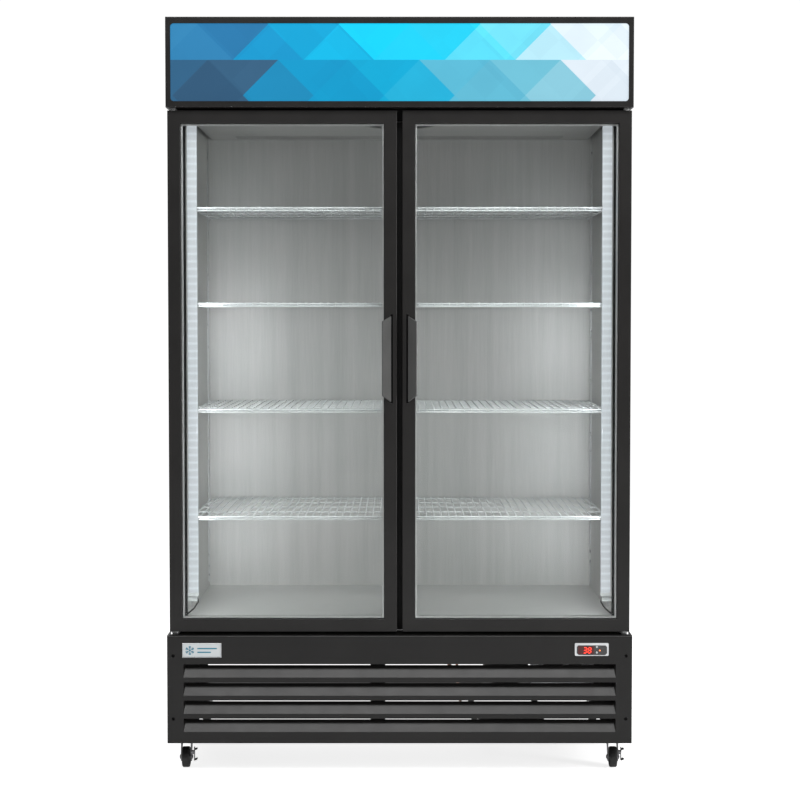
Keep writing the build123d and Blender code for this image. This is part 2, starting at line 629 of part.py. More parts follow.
# ---- casters ------------------------------------------------------------------------------
def caster_places():
    for end, y in CASTER_Y.items():
        for side, x in (("left", -CASTER_X), ("right", CASTER_X)):
            yield f"{end}_{side}", x, y


def caster_plates():
    """Top plates with four bolt heads each, the raceway and the rivet that holds the fork."""
    plates = []
    for _, x, y in caster_places():
        plate = block((x - 32, x + 32), (y - 45, y + 45), (81, FRAME_BOTTOM))
        heads = [rod((x + dx, y + dy, 79), 6, 4, "Z") for dx in (-24, 24) for dy in (-36, 36)]
        race = rod((x, y, 78.5), 22, 5, "Z")
        rivet = rod((x, y, 71.5), KINGPIN_R, 10, "Z") + rod((x, y, 66.5), 9, 3, "Z")
        plates.append(plate + heads + [race, rivet])
    return Compound(plates)


def caster_fork(brake):
    """Drawn about the swivel axis: a bridge, two cheeks and a through axle."""
    bridge = Pos(0, 0, 72.5) * Cylinder(21, 6.4)
    web = block((-14.5, 14.5), (-20, 14), (69.3, 75.7))
    outline = [(16, 75.7), (-22, 75.7), (-CASTER_TRAIL - 9, WHEEL_R), (-CASTER_TRAIL - 6, 17),
               (-CASTER_TRAIL + 6, 17), (-CASTER_TRAIL + 9, WHEEL_R + 4)]
    cheeks = both(prism(outline, Plane.YZ, 12, 2.5))
    fork = bridge + [web] + cheeks
    axle_hole = rod((0, -CASTER_TRAIL, WHEEL_R), AXLE_R + 0.02, 60, "X")
    if brake:
        ears = [block((14.5, BRAKE_X + 2.8), (-CASTER_TRAIL + a, -CASTER_TRAIL + a + 2.2),
                      (BRAKE_Z - 4, BRAKE_Z + 4))
                for a in (-9, 6.8)]
        pin = rod((BRAKE_X, -CASTER_TRAIL, BRAKE_Z), 1.8, 18, "Y")
        fork = fork + ears + [pin]
    fork = fork - [axle_hole, rod((0, 0, 72.5), KINGPIN_R + RUN_GAP, 20, "Z")]
    axle = rod((0, -CASTER_TRAIL, WHEEL_R), AXLE_R, 31, "X")
    axle += [rod((s * 15.6, -CASTER_TRAIL, WHEEL_R), 6.5, 2, "X") for s in (-1, 1)]
    return Compound([fork, axle])


def caster_wheel():
    """Drawn about its axle: a crowned tread, a dished web and a hub."""
    w, r, hub = WHEEL_HALF, WHEEL_R, 9.0
    crown = 2.5
    outline = [(-w, r - crown), (-w + 1.2, r - 0.6), (-w + 4, r),
               (w - 4, r), (w - 1.2, r - 0.6), (w, r - crown),
               (w, r - 7), (w - 3, r - 8), (w - 3, hub + 1), (w + 1.4, hub), (w + 1.4, AXLE_R + RUN_GAP),
               (-w - 1.4, AXLE_R + RUN_GAP), (-w - 1.4, hub), (-w + 3, hub + 1), (-w + 3, r - 8), (-w, r - 7)]
    face = make_face(Polyline(*outline, close=True))
    return revolve(face, Axis.X)


def caster_brake():
    """Drawn about its pivot: a barrel and a plate with a tread tab at each end."""
    barrel = rod((0, 0, 0), 3.6, 12, "Y")
    plate = block((2.0, 4.0), (-6, 6), (-20, 15)) + block((0.5, 3), (-6, 6), (-2.5, 2.5))
    upper = prism([(2.0, 6), (11, 9), (11, 11.6), (2.0, 9.5)], Plane.XZ, -7, 14)
    lower = prism([(2.0, -22), (11, -18), (10, -15.5), (2.0, -19.5)], Plane.XZ, -7, 14)
    lever = barrel + [plate, upper, lower]
    return lever - rod((0, 0, 0), 1.8 + RUN_GAP, 20, "Y")


# ---- all nodes ----------------------------------------------------------------------------
def all_nodes():
    nodes = {
        "left_side_panel": left_side_panel(),
        "right_side_panel": mirrored(left_side_panel()),
        "top_panel": top_panel(),
        "back_panel": back_panel(),
        "inner_liner": inner_liner(),
        "foam_insulation": foam_insulation(),
        "front_frame": front_frame(),
        "centre_mullion": centre_mullion(),
        "base_frame": base_frame(),
        "header_housing": header_housing(),
        "sign_panel": sign_panel(),
        "led_light_bars": led_light_bars(),
        "rocker_switch_frames": rocker_switch_frames(),
        "light_rocker": rocker("light"),
        "power_rocker": rocker("power"),
        "louvre_panel": louvre_panel(),
        "panel_screws": panel_screws(),
        "name_plate": name_plate(),
        "temperature_controller": temperature_controller(),
        "set_button": button("set"),
        "defrost_button": button("defrost"),
        "hinge_brackets": hinge_brackets(),
        "shelf_pilasters": shelf_pilasters(),
        "shelf_clips": shelf_clips(),
        "compressor": compressor(),
        "condenser_coil": condenser_coil(),
        "condenser_fan_shroud": condenser_fan_shroud(),
        "condenser_fan": condenser_fan(),
        "evaporator_coil": evaporator_coil(),
        "evaporator_cover": evaporator_cover(),
        "evaporator_fan": evaporator_fan(),
        "condensate_pan": condensate_pan(),
        "refrigerant_pipes": refrigerant_pipes(),
        "caster_plates": caster_plates(),
    }
    for name, shape in (("frame", door_frame()), ("glass_unit", door_glass_unit()),
                        ("gasket", door_gasket()), ("handle", door_handle())):
        nodes[f"right_door_{name}"] = shape
        nodes[f"left_door_{name}"] = mirrored(shape)
    shelf = right_shelf(0)
    for number, z in enumerate(SHELF_Z, 1):
        nodes[f"right_shelf_{number}"] = Pos(0, 0, z) * shelf
        nodes[f"left_shelf_{number}"] = Pos(0, 0, z) * mirrored(shelf)
    wheel = caster_wheel()
    for name, x, y in caster_places():
        front = name.startswith("front")
        nodes[f"{name}_caster_fork"] = Pos(x, y, 0) * caster_fork(front)
        nodes[f"{name}_caster_wheel"] = Pos(x, y - CASTER_TRAIL, WHEEL_R) * wheel
        if front:
            nodes[f"{name}_caster_brake"] = Pos(x + BRAKE_X, y - CASTER_TRAIL, BRAKE_Z) * caster_brake()
    return nodes


def place(shape):
    """Move a shape drawn by depth behind the header's front face into the origin's frame."""
    return Pos(0, HANDLE_AHEAD - DEPTH / 2, 0) * shape


os.makedirs("parts", exist_ok=True)
for node, shape in all_nodes().items():
    export_step(place(shape), f"parts/{node}.step")
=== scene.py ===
"""Looks of the glass door merchandiser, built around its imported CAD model.

Metres, in the CAD frame: +Z up, the doors face -Y, +X to the viewer's right, floor at z = 0.
"""
import json
import math

import bmesh
import bpy
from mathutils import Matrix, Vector


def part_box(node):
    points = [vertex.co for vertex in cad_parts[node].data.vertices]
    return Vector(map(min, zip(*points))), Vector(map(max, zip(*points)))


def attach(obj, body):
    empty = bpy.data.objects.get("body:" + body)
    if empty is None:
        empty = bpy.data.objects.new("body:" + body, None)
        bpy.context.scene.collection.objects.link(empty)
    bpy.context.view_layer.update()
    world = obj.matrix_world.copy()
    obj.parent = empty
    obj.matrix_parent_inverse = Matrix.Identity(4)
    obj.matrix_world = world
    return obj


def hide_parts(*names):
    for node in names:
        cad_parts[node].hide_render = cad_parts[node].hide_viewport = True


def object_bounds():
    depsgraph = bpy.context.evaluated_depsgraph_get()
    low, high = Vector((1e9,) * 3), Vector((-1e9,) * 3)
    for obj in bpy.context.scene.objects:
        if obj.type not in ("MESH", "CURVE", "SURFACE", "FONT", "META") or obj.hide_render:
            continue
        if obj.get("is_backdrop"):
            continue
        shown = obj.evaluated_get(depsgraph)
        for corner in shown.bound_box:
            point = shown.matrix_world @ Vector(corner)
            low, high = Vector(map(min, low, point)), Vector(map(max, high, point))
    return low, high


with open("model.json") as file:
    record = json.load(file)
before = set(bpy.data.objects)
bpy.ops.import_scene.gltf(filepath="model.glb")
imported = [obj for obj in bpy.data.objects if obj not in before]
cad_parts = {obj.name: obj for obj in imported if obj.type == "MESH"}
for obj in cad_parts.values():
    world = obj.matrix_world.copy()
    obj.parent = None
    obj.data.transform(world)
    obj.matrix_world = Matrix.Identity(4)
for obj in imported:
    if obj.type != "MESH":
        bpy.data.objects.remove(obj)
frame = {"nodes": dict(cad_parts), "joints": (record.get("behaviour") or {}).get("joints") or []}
NODES = frame["nodes"]
CAD_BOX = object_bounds()
MM = 0.001
SIDES = (("left", -1), ("right", 1))
ENDS = ("front", "rear")
UP = (0, 0, 1)
BACK = (0, 1, 0)            # the axis of what points into the front or the back of the cabinet
ACROSS = (1, 0, 0)


def mm(*points):
    """Points given in millimetres, as metres."""
    return [tuple(value * MM for value in point) for point in points]


def pivot(joint):
    """Where a joint's axis passes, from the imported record."""
    return Vector(next(j["pos_m"] for j in frame["joints"] if j["name"] == joint))


def turns(count):
    """Equal steps round a circle, in radians."""
    return [2 * math.pi * k / count for k in range(count)]


def srgb(*channels):
    """A linear colour from 0-255 screen values."""
    unit = [c / 255 for c in channels]
    return tuple(c / 12.92 if c <= 0.04045 else ((c + 0.055) / 1.055) ** 2.4 for c in unit)


# ---- node graphs ----
class Look:
    """A Principled material and short calls for the nodes that feed it."""

    def __init__(self, name, **sockets):
        self.material = bpy.data.materials.new(name)
        self.material.use_nodes = True
        self.tree = self.material.node_tree
        self.shader = self.tree.nodes["Principled BSDF"]
        for socket, value in sockets.items():
            self.feed(socket.replace("_", " "), value)
        self.place = self.node("ShaderNodeTexCoord").outputs["Object"]

    def feed(self, socket, value):
        self._set(self.shader.inputs[socket], value)

    def _set(self, socket, value):
        if isinstance(value, bpy.types.NodeSocket):
            self.tree.links.new(value, socket)
        elif isinstance(value, tuple) and len(value) == 3 and socket.type == "RGBA":
            socket.default_value = (*value, 1.0)
        else:
            socket.default_value = value

    def node(self, kind, inputs=(), **settings):
        made = self.tree.nodes.new(kind)
        for key, value in settings.items():
            setattr(made, key, value)
        for key, value in dict(inputs).items():
            self._set(made.inputs[key], value)
        return made

    def stretched(self, x, y, z):
        return self.node("ShaderNodeMapping", {"Vector": self.place, "Scale": (x, y, z)}).outputs[0]

    def noise(self, scale, detail=3.0, rough=0.5, place=None):
        made = self.node("ShaderNodeTexNoise", {"Vector": place or self.place, "Scale": scale,
                                                "Detail": detail, "Roughness": rough})
        return made.outputs["Fac"]

    def cells(self, scale):
        return self.node("ShaderNodeTexVoronoi", {"Vector": self.place, "Scale": scale})

    def span(self, value, low, high, to_low=0.0, to_high=1.0):
        names = {"Value": value, "From Min": low, "From Max": high, "To Min": to_low, "To Max": to_high}
        return self.node("ShaderNodeMapRange", names).outputs[0]

    def mix(self, share, a, b, how="MIX"):
        made = self.node("ShaderNodeMix", {0: share, 6: a, 7: b}, data_type="RGBA", blend_type=how)
        return made.outputs[2]

    def math(self, how, a, b=0.0, c=0.0):
        return self.node("ShaderNodeMath", {0: a, 1: b, 2: c}, operation=how).outputs[0]

    def axes(self):
        made = self.node("ShaderNodeSeparateXYZ", {0: self.place})
        return made.outputs[0], made.outputs[1], made.outputs[2]

    def bump(self, height, distance, strength=1.0):
        made = self.node("ShaderNodeBump", {"Height": height, "Distance": distance, "Strength": strength})
        self.feed("Normal", made.outputs[0])

    def vary(self, base, spread, share):
        """From a little darker than the base colour to a little lighter."""
        dark = tuple(c * (1 - spread) for c in base)
        light = tuple(min(1.0, c * (1 + spread)) for c in base)
        return self.mix(share, dark, light)

    def shade(self, base, spread, scale=7.0):
        """The base colour, varied in soft patches."""
        return self.vary(base, spread, self.span(self.noise(scale, 4.0), 0.3, 0.7))


# ---- materials ----
def powder_coat(name, base, rough, shaded_inside_x=None):
    """Satin powder coat: fine orange peel, specks, and soft changes of gloss.

    The x limit: |x| inside which the sheet is made near-black and dull, as painted shade on its inner faces
    in the machine bay.
    """
    look = Look(name, Specular_IOR_Level=0.3)
    specks = look.span(look.noise(1500, 2.0), 0.55, 0.75, 0.0, 0.5)
    lighter = tuple(c * 2.2 + 0.004 for c in base)
    tone = look.mix(specks, look.shade(base, 0.18), lighter)
    gloss = look.span(look.noise(30, 5.0), 0.3, 0.7, rough - 0.02, rough + 0.03)
    # Painted shade: inside the x limit the coat turns near-black and dull, for the shaded inner faces.
    if shaded_inside_x:
        x, _, _ = look.axes()
        shaded_inside = look.math("LESS_THAN", look.math("ABSOLUTE", x), shaded_inside_x)
        tone = look.mix(shaded_inside, tone, (0.004, 0.004, 0.004))
        gloss = look.math("MAXIMUM", gloss, look.math("MULTIPLY", shaded_inside, 0.95))
    look.feed("Base Color", tone)
    look.feed("Roughness", gloss)
    peel = look.math("ADD", look.noise(520, 2.0), look.math("MULTIPLY", look.noise(1600, 2.0), 0.4))
    look.bump(peel, 0.00007, 0.8)
    return look.material


def brushed_metal(name, base, rough, along=(1.0, 1.0, 0.012), spread=0.10, metallic=1.0):
    """Sheet metal with fine lines that run along one axis."""
    look = Look(name, Metallic=metallic, Anisotropic=0.35)
    lines = look.noise(900, 4.0, 0.6, look.stretched(*along))
    wide = look.noise(45, 3.0, 0.5, look.stretched(*along))
    both = look.math("ADD", look.math("MULTIPLY", lines, 0.6), look.math("MULTIPLY", wide, 0.4))
    look.feed("Base Color", look.vary(base, spread, look.span(both, 0.35, 0.65)))
    look.feed("Roughness", look.span(lines, 0.3, 0.7, rough - 0.06, rough + 0.08))
    look.bump(lines, 0.00003, 0.5)
    return look.material


def zinc_plate(name, base, rough, cell=160.0):
    """Zinc: faint crystals, a slight warm tint in places, dull spots."""
    look = Look(name, Metallic=1.0)
    grey = look.node("ShaderNodeRGBToBW", {0: look.cells(cell).outputs["Color"]}).outputs[0]
    dark = tuple(c * 0.86 for c in base)
    warm = (base[0] * 1.04, base[1] * 1.0, base[2] * 0.90)
    tone = look.mix(look.span(grey, 0.2, 0.8), dark, base)
    look.feed("Base Color", look.mix(look.span(look.noise(60, 3.0), 0.5, 0.75, 0.0, 0.6), tone, warm))
    look.feed("Roughness", look.span(grey, 0.0, 1.0, rough - 0.05, rough + 0.12))
    look.bump(look.noise(700, 3.0), 0.00004, 0.6)
    return look.material


def moulded_plastic(name, base, rough, grain=0.00006, spread=0.12, gloss=0.5):
    """Moulded plastic with a fine spark-eroded grain."""
    look = Look(name, Specular_IOR_Level=gloss)
    look.feed("Base Color", look.shade(base, spread, 20.0))
    look.feed("Roughness", look.span(look.noise(90, 4.0), 0.3, 0.7, rough - 0.05, rough + 0.06))
    look.bump(look.noise(2200, 2.0), grain, 0.7)
    return look.material


def rubber(name, base, rough=0.6):
    look = Look(name, Specular_IOR_Level=0.35)
    bloom = look.span(look.noise(140, 5.0, 0.7), 0.52, 0.8, 0.0, 0.55)
    dusty = tuple(c * 2.0 + 0.015 for c in base)
    look.feed("Base Color", look.mix(bloom, look.shade(base, 0.2, 30.0), dusty))
    look.feed("Roughness", look.span(look.noise(200, 3.0), 0.3, 0.7, rough - 0.06, rough + 0.1))
    look.bump(look.noise(1800, 3.0), 0.00008, 0.7)
    return look.material


def glass_pane(name):
    """Clear anti-reflection glass with a breath of green, that lets lamp light through."""
    look = Look(name, Transmission_Weight=1.0, IOR=1.18, Roughness=0.0)
    share = look.span(look.noise(3.0, 2.0), 0.3, 0.7)
    look.feed("Base Color", look.mix(share, (0.975, 0.992, 0.985), (0.99, 0.997, 0.993)))
    open_way = look.node("ShaderNodeBsdfTransparent", {"Color": (0.97, 0.985, 0.98)})
    rays = look.node("ShaderNodeLightPath")
    blend = look.node("ShaderNodeMixShader", {0: rays.outputs["Is Shadow Ray"]})
    look.tree.links.new(look.shader.outputs[0], blend.inputs[1])
    look.tree.links.new(open_way.outputs[0], blend.inputs[2])
    look.tree.links.new(blend.outputs[0], look.tree.nodes["Material Output"].inputs["Surface"])
    return look.material


def glowing(name, colour, strength):
    """A lit diffuser: its light is a little uneven."""
    look = Look(name, Roughness=0.3)
    patch = look.span(look.noise(25, 3.0), 0.3, 0.7, 0.92, 1.0)
    lit = look.mix(patch, (0.0, 0.0, 0.0), colour)
    look.feed("Base Color", look.shade(colour, 0.04))
    look.feed("Emission Color", lit)
    look.feed("Emission Strength", strength)
    return look.material


def led_diffuser(name, pitch, first_z, colour, strength):
    """Frosted cover with a brighter spot over each light-emitting diode."""
    look = Look(name, Roughness=0.45)
    _, _, z = look.axes()
    phase = look.math("MULTIPLY", look.math("SUBTRACT", z, first_z), 2 * math.pi / pitch)
    wave = look.span(look.math("COSINE", phase), -1.0, 1.0)
    spot = look.math("POWER", wave, 3.0)
    lit = look.mix(look.span(spot, 0.0, 1.0), tuple(c * 0.80 for c in colour), colour)
    look.feed("Base Color", look.shade((0.12, 0.125, 0.13), 0.05))
    look.feed("Emission Color", lit)
    look.feed("Emission Strength", strength)
    look.bump(look.noise(600, 2.0), 0.00005, 0.4)
    return look.material


def copper(name):
    look = Look(name, Metallic=1.0)
    tarnish = look.span(look.noise(70, 5.0, 0.6), 0.45, 0.7)
    look.feed("Base Color", look.mix(tarnish, (0.50, 0.24, 0.15), (0.20, 0.10, 0.06)))
    look.feed("Roughness", look.span(tarnish, 0.0, 1.0, 0.24, 0.46))
    look.bump(look.noise(900, 2.0), 0.00003, 0.5)
    return look.material


def foam_core(name):
    look = Look(name, Roughness=0.9)
    look.feed("Base Color", look.shade((0.72, 0.62, 0.34), 0.15, 60.0))
    look.bump(look.cells(900).outputs["Distance"], 0.0002, 0.8)
    return look.material


# The sign's tones from left to right, over and under its dividing line: (place, screen colour).
SIGN_UPPER = [(0.0, (46, 128, 176)), (0.17, (38, 122, 172)), (0.23, (0, 152, 204)), (0.35, (0, 178, 224)),
              (0.45, (0, 212, 252)), (0.60, (36, 222, 252)), (0.72, (104, 226, 246)), (0.82, (140, 226, 242)),
              (0.90, (238, 248, 252)), (1.0, (236, 245, 250))]
SIGN_LOWER = [(0.0, (48, 100, 136)), (0.14, (52, 90, 120)), (0.20, (38, 104, 144)), (0.26, (4, 146, 194)),
              (0.40, (0, 152, 198)), (0.52, (0, 178, 218)), (0.64, (88, 180, 206)), (0.76, (110, 188, 208)),
              (0.88, (150, 206, 220)), (0.93, (228, 236, 242))]
FACET = 0.186              # base of a triangle
SIGN_DIVIDE = 0.53         # of the panel's height
SIGN_GLOW = 1.0


def sign_art(name):
    """Back-lit artwork: two rows of triangles in tones that run from steel blue to white."""
    low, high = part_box("sign_panel")
    divide = low.z + (high.z - low.z) * SIGN_DIVIDE
    look = Look(name, Roughness=0.34, Specular_IOR_Level=0.2)
    x, _, z = look.axes()
    up = look.math("MULTIPLY", look.math("SUBTRACT", z, divide), 1 / FACET)
    below = look.math("LESS_THAN", up, 0.0)
    rise = look.math("ABSOLUTE", up)

    def lattice(size, shift):
        """The number and the middle of the triangle that a point is in."""
        slide = look.math("MULTIPLY_ADD", below, shift, shift)
        moved = look.math("MULTIPLY_ADD", x, 1 / (FACET * size), slide)
        tall = look.math("MULTIPLY", rise, 1 / size)
        plus = look.math("FLOOR", look.math("ADD", moved, tall))
        minus = look.math("FLOOR", look.math("SUBTRACT", moved, tall))
        number = look.math("ADD", plus, minus)
        offset = look.math("SUBTRACT", look.math("MULTIPLY_ADD", number, 0.5, 0.5), slide)
        return number, look.math("MULTIPLY_ADD", offset, FACET * size / (high.x - low.x), 0.5)

    def chance(number, salt):
        seed = look.math("MULTIPLY_ADD", below, 37.0, look.math("ADD", number, salt))
        return look.node("ShaderNodeTexWhiteNoise", {"W": seed}, noise_dimensions="1D").outputs["Value"]

    def ramp(tones, place):
        made = look.node("ShaderNodeValToRGB", {"Fac": place})
        stops = made.color_ramp.elements
        while len(stops) < len(tones):
            stops.new(0.5)
        for stop, (at, tone) in zip(stops, tones):
            stop.position = at
            stop.color = (*srgb(*tone), 1.0)
        return made.outputs[0]

    number, middle = lattice(1.0, 0.36)
    pick = chance(number, 11.0)
    place = look.math("MULTIPLY_ADD", look.math("SUBTRACT", pick, 0.5), 0.06, middle)
    art = look.mix(below, ramp(SIGN_UPPER, place), ramp(SIGN_LOWER, place))
    for size, shift, salt, depth in ((1.0, 0.36, 5.0, 0.16), (1.9, 0.21, 3.0, 0.14), (0.55, 0.4, 8.0, 0.07)):
        number, _ = lattice(size, shift)
        strength = look.span(chance(number, salt), 0.0, 1.0, 0.0, depth)
        art = look.mix(strength, art, srgb(40, 120, 160), how="MULTIPLY")
    look.feed("Base Color", look.mix(0.85, art, (0.0, 0.0, 0.0)))
    patch = look.span(look.noise(9, 3.0), 0.3, 0.7, 0.95, 1.0)
    look.feed("Emission Color", look.mix(patch, (0.0, 0.0, 0.0), art))
    look.feed("Emission Strength", SIGN_GLOW)
    look.bump(look.noise(700, 2.0), 0.00003, 0.4)
    return look.material


BLACK = powder_coat("black_powder_coat", (0.0064, 0.0060, 0.0058), 0.31)
# The side sheets, near-black and dull on their inner faces as painted shade.
BLACK_SIDE_SHADED_INSIDE = powder_coat("black_side_coat_shaded_inside", (0.0064, 0.0060, 0.0058), 0.34, shaded_inside_x=0.6145)
BLACK_DOOR = powder_coat("black_door_coat", (0.0092, 0.0086, 0.0083), 0.31)
# Darker and duller than the other black coats: painted shade for the front frame, mullion and base frame,
# which sit back behind the doors and panels.
BLACK_FRAME_SHADED = powder_coat("shaded_black_frame_coat", (0.0035, 0.0033, 0.0033), 0.50)
# About ten times lighter than the black coat: painted light, so the handle blades read bright where the side
# light falls on them.
HANDLE_LIT = powder_coat("handle_coat_painted_light", (0.068, 0.068, 0.067), 0.36)
# Near-black, used as painted shadow: the strips in the handle grooves and the crosses in the screw heads.
SHADOW_BLACK = moulded_plastic("shadow_groove", (0.0010, 0.0010, 0.0010), 0.85, gloss=0.05)
SCREW = moulded_plastic("black_oxide_screw", (0.0012, 0.0012, 0.0012), 0.60, gloss=0.10)
BUSH = moulded_plastic("nylon_bush", (0.86, 0.86, 0.85), 0.35)
LINER = brushed_metal("brushed_liner", (0.47, 0.465, 0.46), 0.37, metallic=0.8)
COVER = brushed_metal("evaporator_cover_sheet", (0.34, 0.335, 0.33), 0.46, along=(0.012, 1.0, 1.0),
                      metallic=0.6)
ALUMINIUM = brushed_metal("anodised_aluminium", (0.52, 0.52, 0.52), 0.34)
FINS = brushed_metal("coil_fins", (0.60, 0.61, 0.62), 0.40, along=(1.0, 0.05, 1.0), spread=0.18)
ZINC = zinc_plate("zinc_plate", (0.50, 0.51, 0.52), 0.30)
# A darker copy of the zinc, as painted shade on the caster plates and forks under the cabinet; the axle nuts,
# brake plates and compressor bolts use it too.
SHADED_ZINC = zinc_plate("shaded_zinc_plate", (0.22, 0.22, 0.23), 0.36)
GALVANISED = zinc_plate("galvanised_sheet", (0.50, 0.51, 0.53), 0.36, cell=55.0)
WIRE = moulded_plastic("coated_wire", (0.42, 0.43, 0.44), 0.30)
PLASTIC = moulded_plastic("black_plastic", (0.012, 0.012, 0.012), 0.42)
HUB = moulded_plastic("wheel_hub_plastic", (0.030, 0.030, 0.031), 0.45)
CONTROL = moulded_plastic("controller_grey", (0.50, 0.51, 0.52), 0.35)
CONTROL_FACE = moulded_plastic("controller_face", (0.035, 0.034, 0.034), 0.22, grain=0.00002)
BUTTON = moulded_plastic("button_grey", (0.42, 0.44, 0.45), 0.35)
RED = moulded_plastic("red_rocker", (0.50, 0.012, 0.012), 0.24, grain=0.00002)
WHITE_INK = moulded_plastic("white_mark", (0.75, 0.75, 0.75), 0.5)
DARK_WINDOW = moulded_plastic("display_window", (0.045, 0.003, 0.002), 0.15, grain=0.00001)
BADGE = moulded_plastic("badge_enamel", (0.47, 0.50, 0.51), 0.22, grain=0.00002, spread=0.03)
BADGE_RIM = zinc_plate("badge_rim", (0.52, 0.53, 0.55), 0.28)
BADGE_BLUE = moulded_plastic("badge_blue", (0.02, 0.16, 0.24), 0.25, grain=0.00002)
COMPRESSOR = powder_coat("compressor_paint", (0.010, 0.010, 0.011), 0.22)
GASKET = rubber("gasket_rubber", (0.016, 0.016, 0.016))
TREAD = rubber("wheel_tread", (0.010, 0.010, 0.010), 0.42)
BUTYL = rubber("glass_seal", (0.006, 0.006, 0.006), 0.55)
GLASS = glass_pane("clear_glass")
COPPER = copper("copper_tube")
FOAM = foam_core("foam_core")
SIGN = sign_art("sign_artwork")
DIGITS = glowing("red_digits", (1.0, 0.035, 0.015), 2.2)
AMBER = glowing("amber_lamp", (1.0, 0.22, 0.06), 1.1)

NODE_LOOKS = {
    BLACK: ["header_housing", "louvre_panel", "top_panel"],
    # Painted shade on the inner faces of the side sheets.
    BLACK_SIDE_SHADED_INSIDE: ["left_side_panel", "right_side_panel"],
    # Painted shade: the darker coat for the front frame, mullion and base frame.
    BLACK_FRAME_SHADED: ["front_frame", "centre_mullion", "base_frame"],
    BLACK_DOOR: ["left_door_frame", "right_door_frame"],
    # Painted light: the lighter coat on the handle blades.
    HANDLE_LIT: ["left_door_handle", "right_door_handle"],
    GALVANISED: ["back_panel", "condenser_fan_shroud"],
    LINER: ["inner_liner"],
    COVER: ["evaporator_cover"],
    FINS: ["condenser_coil", "evaporator_coil"],
    ZINC: ["shelf_pilasters", "shelf_clips"],
    # Painted shade: the darker zinc on the caster plates and forks.
    SHADED_ZINC: ["caster_plates"] + [f"{end}_{side}_caster_fork" for end in ENDS for side, _ in SIDES],
    PLASTIC: ["rocker_switch_frames", "condensate_pan"],
    RED: ["light_rocker", "power_rocker"],
    CONTROL: ["temperature_controller"],
    BUTTON: ["set_button", "defrost_button"],
    BADGE: ["name_plate"],
    COMPRESSOR: ["compressor"],
    COPPER: ["refrigerant_pipes"],
    FOAM: ["foam_insulation"],
    SIGN: ["sign_panel"],
}
# How far each node's sharp edges are rolled, in millimetres.
SOFT_EDGES = {
    "header_housing": 0.5, "louvre_panel": 0.35, "left_door_frame": 0.7, "right_door_frame": 0.7,
    "left_door_handle": 0.6, "right_door_handle": 0.6, "temperature_controller": 0.4, "light_rocker": 0.4,
    "power_rocker": 0.4, "condensate_pan": 0.8, "rocker_switch_frames": 0.3,
}


def paint_nodes():
    for material, names in NODE_LOOKS.items():
        for name in names:
            data = NODES[name].data
            data.materials.clear()
            data.materials.append(material)


def soften_edges():
    """Rolls the sharp edges of the shown sheet and moulded nodes, which keep their mesh and size."""
    for name, width in SOFT_EDGES.items():
        bevel = NODES[name].modifiers.new("rolled_edge", "BEVEL")
        bevel.width = width * MM
        bevel.segments = 2
        bevel.limit_method = "ANGLE"
        bevel.angle_limit = math.radians(40)
        bevel.use_clamp_overlap = True
        bevel.harden_normals = False


